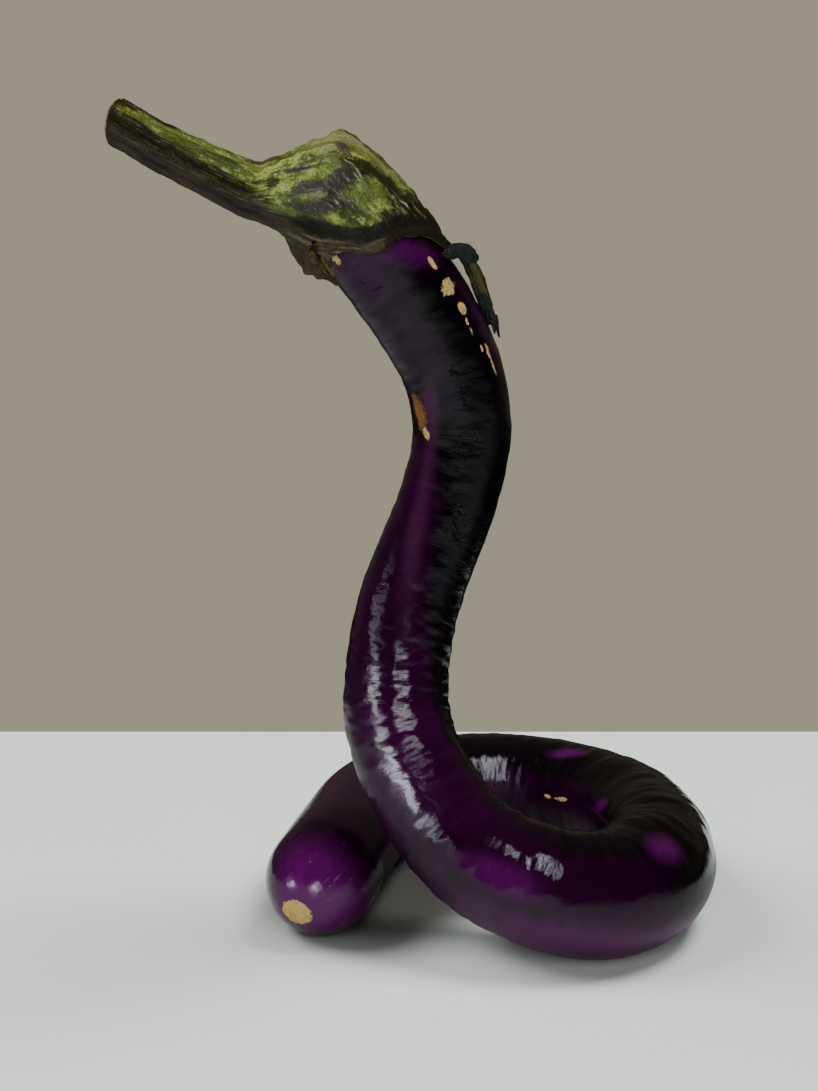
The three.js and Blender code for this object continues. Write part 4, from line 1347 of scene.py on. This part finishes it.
studio = {
    "cameraPlace": (-5.05, -325.3, 136.0),
    "lookDown": 6.45,
    "lens": 37.95,
    "sensor": 36,
    "tableCorners": ((-195.0, -2800.0), (185.0, 160.0)),
    "tableColour": (0.665, 0.72, 0.685),
    "tableShade": (0.625, 0.675, 0.645),
    "paintedShadowColour": (0.04, 0.038, 0.034),
    # painted shadow on the table inside the coil and between the tail and the coil, where little light comes down: x,
    # y, the distances where it is darkest and no longer dark, and how dark
    "paintedShadows": [(22, 0, 20, 30, 0.8), (-12, -9, 19, 48, 0.96)],
    "wallColour": (0.348, 0.325, 0.235),
    "behindShare": 0.3,  # how much of the wall's light comes from behind the object, and how little from the front
    "frontShare": 0.06,
    "belowShare": 0.12,
    "floorAhead": (0.55, 0.62, 0.68),  # the pale floor before the table and to its left, seen only in the gloss
    "leftShare": 0.72,
    "aheadShare": (1.0, 1.6),
    # the directions between which each part of the air comes in: y grows to the back, x to the right, z upwards
    "wallTurn": (-0.25, 0.45), "horizon": (-0.06, 0.03), "aheadTurn": (0.15, -0.55), "aheadRise": (0.11, 0.03),
    "leftFall": (-0.2, -0.34), "leftTurn": (-0.2, -0.5), "strongerTurn": (0.2, -0.5),
    # power, width of the light in degrees, tilt towards the camera and to the right
    "lights": {"rightLight": (3.4, 24, -10, 24), "leftLight": (3.0, 34, -8, -42), "frontLight": (1.8, 60, 64, -8)},
}

bpy.ops.object.camera_add(location=Vector(studio["cameraPlace"]) * mm,
                          rotation=(math.radians(90 - studio["lookDown"]), 0, 0))
camera = bpy.context.object
camera.data.lens = studio["lens"]
camera.data.sensor_width = studio["sensor"]
camera.data.clip_start = 10 * mm
bpy.context.scene.camera = camera

clearSelection()
(tableLeft, tableFront), (tableRight, tableBack) = studio["tableCorners"]
bpy.ops.mesh.primitive_plane_add(size=mm, location=Vector((tableLeft + tableRight, tableFront + tableBack, 0)) * mm / 2)
bpy.ops.transform.resize(value=(tableRight - tableLeft, tableBack - tableFront, 1))
table = named("table")
tableFinish, tableTree, tableShader = newFinish("paleTable", Roughness=0.55)
tablePlace = placeOf(tableTree)
tablePale = paint(tableTree, grainOf(tableTree, tablePlace, 3.0, 2, 0.5), studio["tableColour"], studio["tableShade"])
# painted shadows darken the table round each spot
shadowMasks = []
for hollowX, hollowY, shadowFull, shadowEnd, shadowShare in studio["paintedShadows"]:
    hollow = Vector((hollowX, hollowY, 0)) * mm
    away = addNode(tableTree, "VectorMath", {0: tablePlace, 1: hollow}, operation="DISTANCE").outputs["Value"]
    shadowMasks.append(ease(tableTree, away, shadowFull * mm, shadowEnd * mm, shadowShare, 0))
tableTone = paint(tableTree, most(tableTree, *shadowMasks), tablePale, studio["paintedShadowColour"])
tableTree.links.new(tableTone, tableShader.inputs["Base Color"])
table.data.materials.append(tableFinish)

# to the camera the air is the wall's colour; in the gloss it is brighter behind, dark in front and below,
# and pale where the floor ahead and to the left would show
airWorld = bpy.data.worlds.new("softAir")
airWorld.use_nodes = True
airTree = airWorld.node_tree
airShader = airTree.nodes["Background"]
seen = addNode(airTree, "LightPath").outputs["Is Camera Ray"]
towards = partsOf(airTree, addNode(airTree, "TexCoord").outputs["Generated"])
wallLight = ease(airTree, towards["Y"], *studio["wallTurn"], studio["frontShare"], studio["behindShare"])
wallShare = times(airTree, wallLight, ease(airTree, towards["Z"], *studio["horizon"], studio["belowShare"], 1.0))
floorFront = times(airTree, ease(airTree, towards["Y"], *studio["aheadTurn"]),
                   ease(airTree, towards["Z"], *studio["aheadRise"]))
floorLeft = times(airTree, ease(airTree, towards["Z"], *studio["leftFall"], 0, studio["leftShare"]),
                  ease(airTree, towards["X"], *studio["leftTurn"]))
ahead = times(airTree, most(airTree, floorFront, floorLeft), calc(airTree, "SUBTRACT", 1.0, seen))
aheadShare = times(airTree, ahead, ease(airTree, towards["X"], *studio["strongerTurn"], *studio["aheadShare"]))
airTree.links.new(most(airTree, wallShare, aheadShare, seen), airShader.inputs["Strength"])
airTree.links.new(paint(airTree, ahead, studio["wallColour"], studio["floorAhead"]), airShader.inputs["Color"])
bpy.context.scene.world = airWorld

# each window is a grid of panes between two aims, in degrees to the right of the camera and degrees up from its target;
# every pane is turned to the target and lights only what is within reach of it, so the window shows there alone
windows = {
    # two aims, target, height, columns and rows, glow, reach
    "leftLow": ((-25, 6), (-54, 12), (-8.5, -43.5, 47), 62, (5, 3), 58, 15.5),
    "leftHigh": ((-44, 18), (-66, 18), (-14, -34.5, 66), 48, (4, 3), 40, 13),
    "farLeft": ((-60, 22), (-92, 27), (-14, -28.5, 81), 24, (5, 1), 12, 16),
    "right": ((-2, 26), (36, 38), (-7, -37, 63), 46, (6, 2), 40, 15),
    "skylight": ((-8, 58), (9, 56), (25, -56.8, 28.4), 84, (3, 4), 52, 9.5),
    "calyxWindow": ((-58, 34), (-18, 44), (-26, -27, 194), 60, (4, 2), 20, 30),
    "bendLow": ((-22, 15), (-48, 4), (-3, -47.3, 38.5), 60, (3, 3), 58, 7),
    "inner": ((-4, 18), (50, 68), (21, 33, 24), 84, (8, 4), 42, 15),
    "tailLeft": ((-64, 1), (-54, 1), (-35, -44, 17), 30, (2, 2), 56, 14),
    "tailRight": ((-17, 2), (-3, 2), (-29, -45, 18), 46, (2, 2), 84, 14),
}
windowAway = 220
daylight = (0.91, 0.95, 1.0)


def wayTo(aim):
    azimuth, elevation = (math.radians(angle) for angle in aim)
    level = math.cos(elevation)
    return Vector((math.sin(azimuth) * level, -math.cos(azimuth) * level, math.sin(elevation)))


def addWindow(name, startAim, stopAim, target, tall, panes, glow, reach):
    target = Vector(target)
    start, stop = (target + wayTo(aim) * windowAway for aim in (startAim, stopAim))
    halfBeam = math.atan(reach / windowAway)
    narrow = halfBeam ** 2 / 3  # a narrow beam needs this little power for the same glow
    across = (stop - start).normalized()
    up = (start + stop - 2 * target).normalized().cross(across)
    columns, rows = panes
    wide, high = (stop - start).length / columns, tall / rows
    for column in range(columns):
        for row in range(rows):
            middle = start + across * wide * (column + 0.5) + up * high * (row + 0.5 - rows / 2)
            back = (middle - target).normalized()
            side = (across - back * across.dot(back)).normalized()
            bpy.ops.object.light_add(type="AREA", location=middle * mm, rotation=facing(side, back))
            lamp = bpy.context.object
            lamp.name = f"{name}{column + 1}_{row + 1}"
            lamp.visible_camera = False
            lamp.data.shape = "RECTANGLE"
            lamp.data.size, lamp.data.size_y = wide * mm, high * mm
            lamp.data.spread = 2 * halfBeam
            lamp.data.color = daylight
            lamp.data.energy = glow * math.pi * lamp.data.size * lamp.data.size_y * narrow


for windowName, window in windows.items():
    addWindow(windowName, *window)

for lightName, (power, width, forward, sideways) in studio["lights"].items():
    bpy.ops.object.light_add(type="SUN", rotation=(math.radians(forward), math.radians(sideways), 0))
    sun = bpy.context.object
    sun.name = lightName
    sun.data.energy = power
    sun.data.angle = math.radians(width)
    sun.visible_glossy = False  # it lights the skin but doesn't show in it
print("studio set")
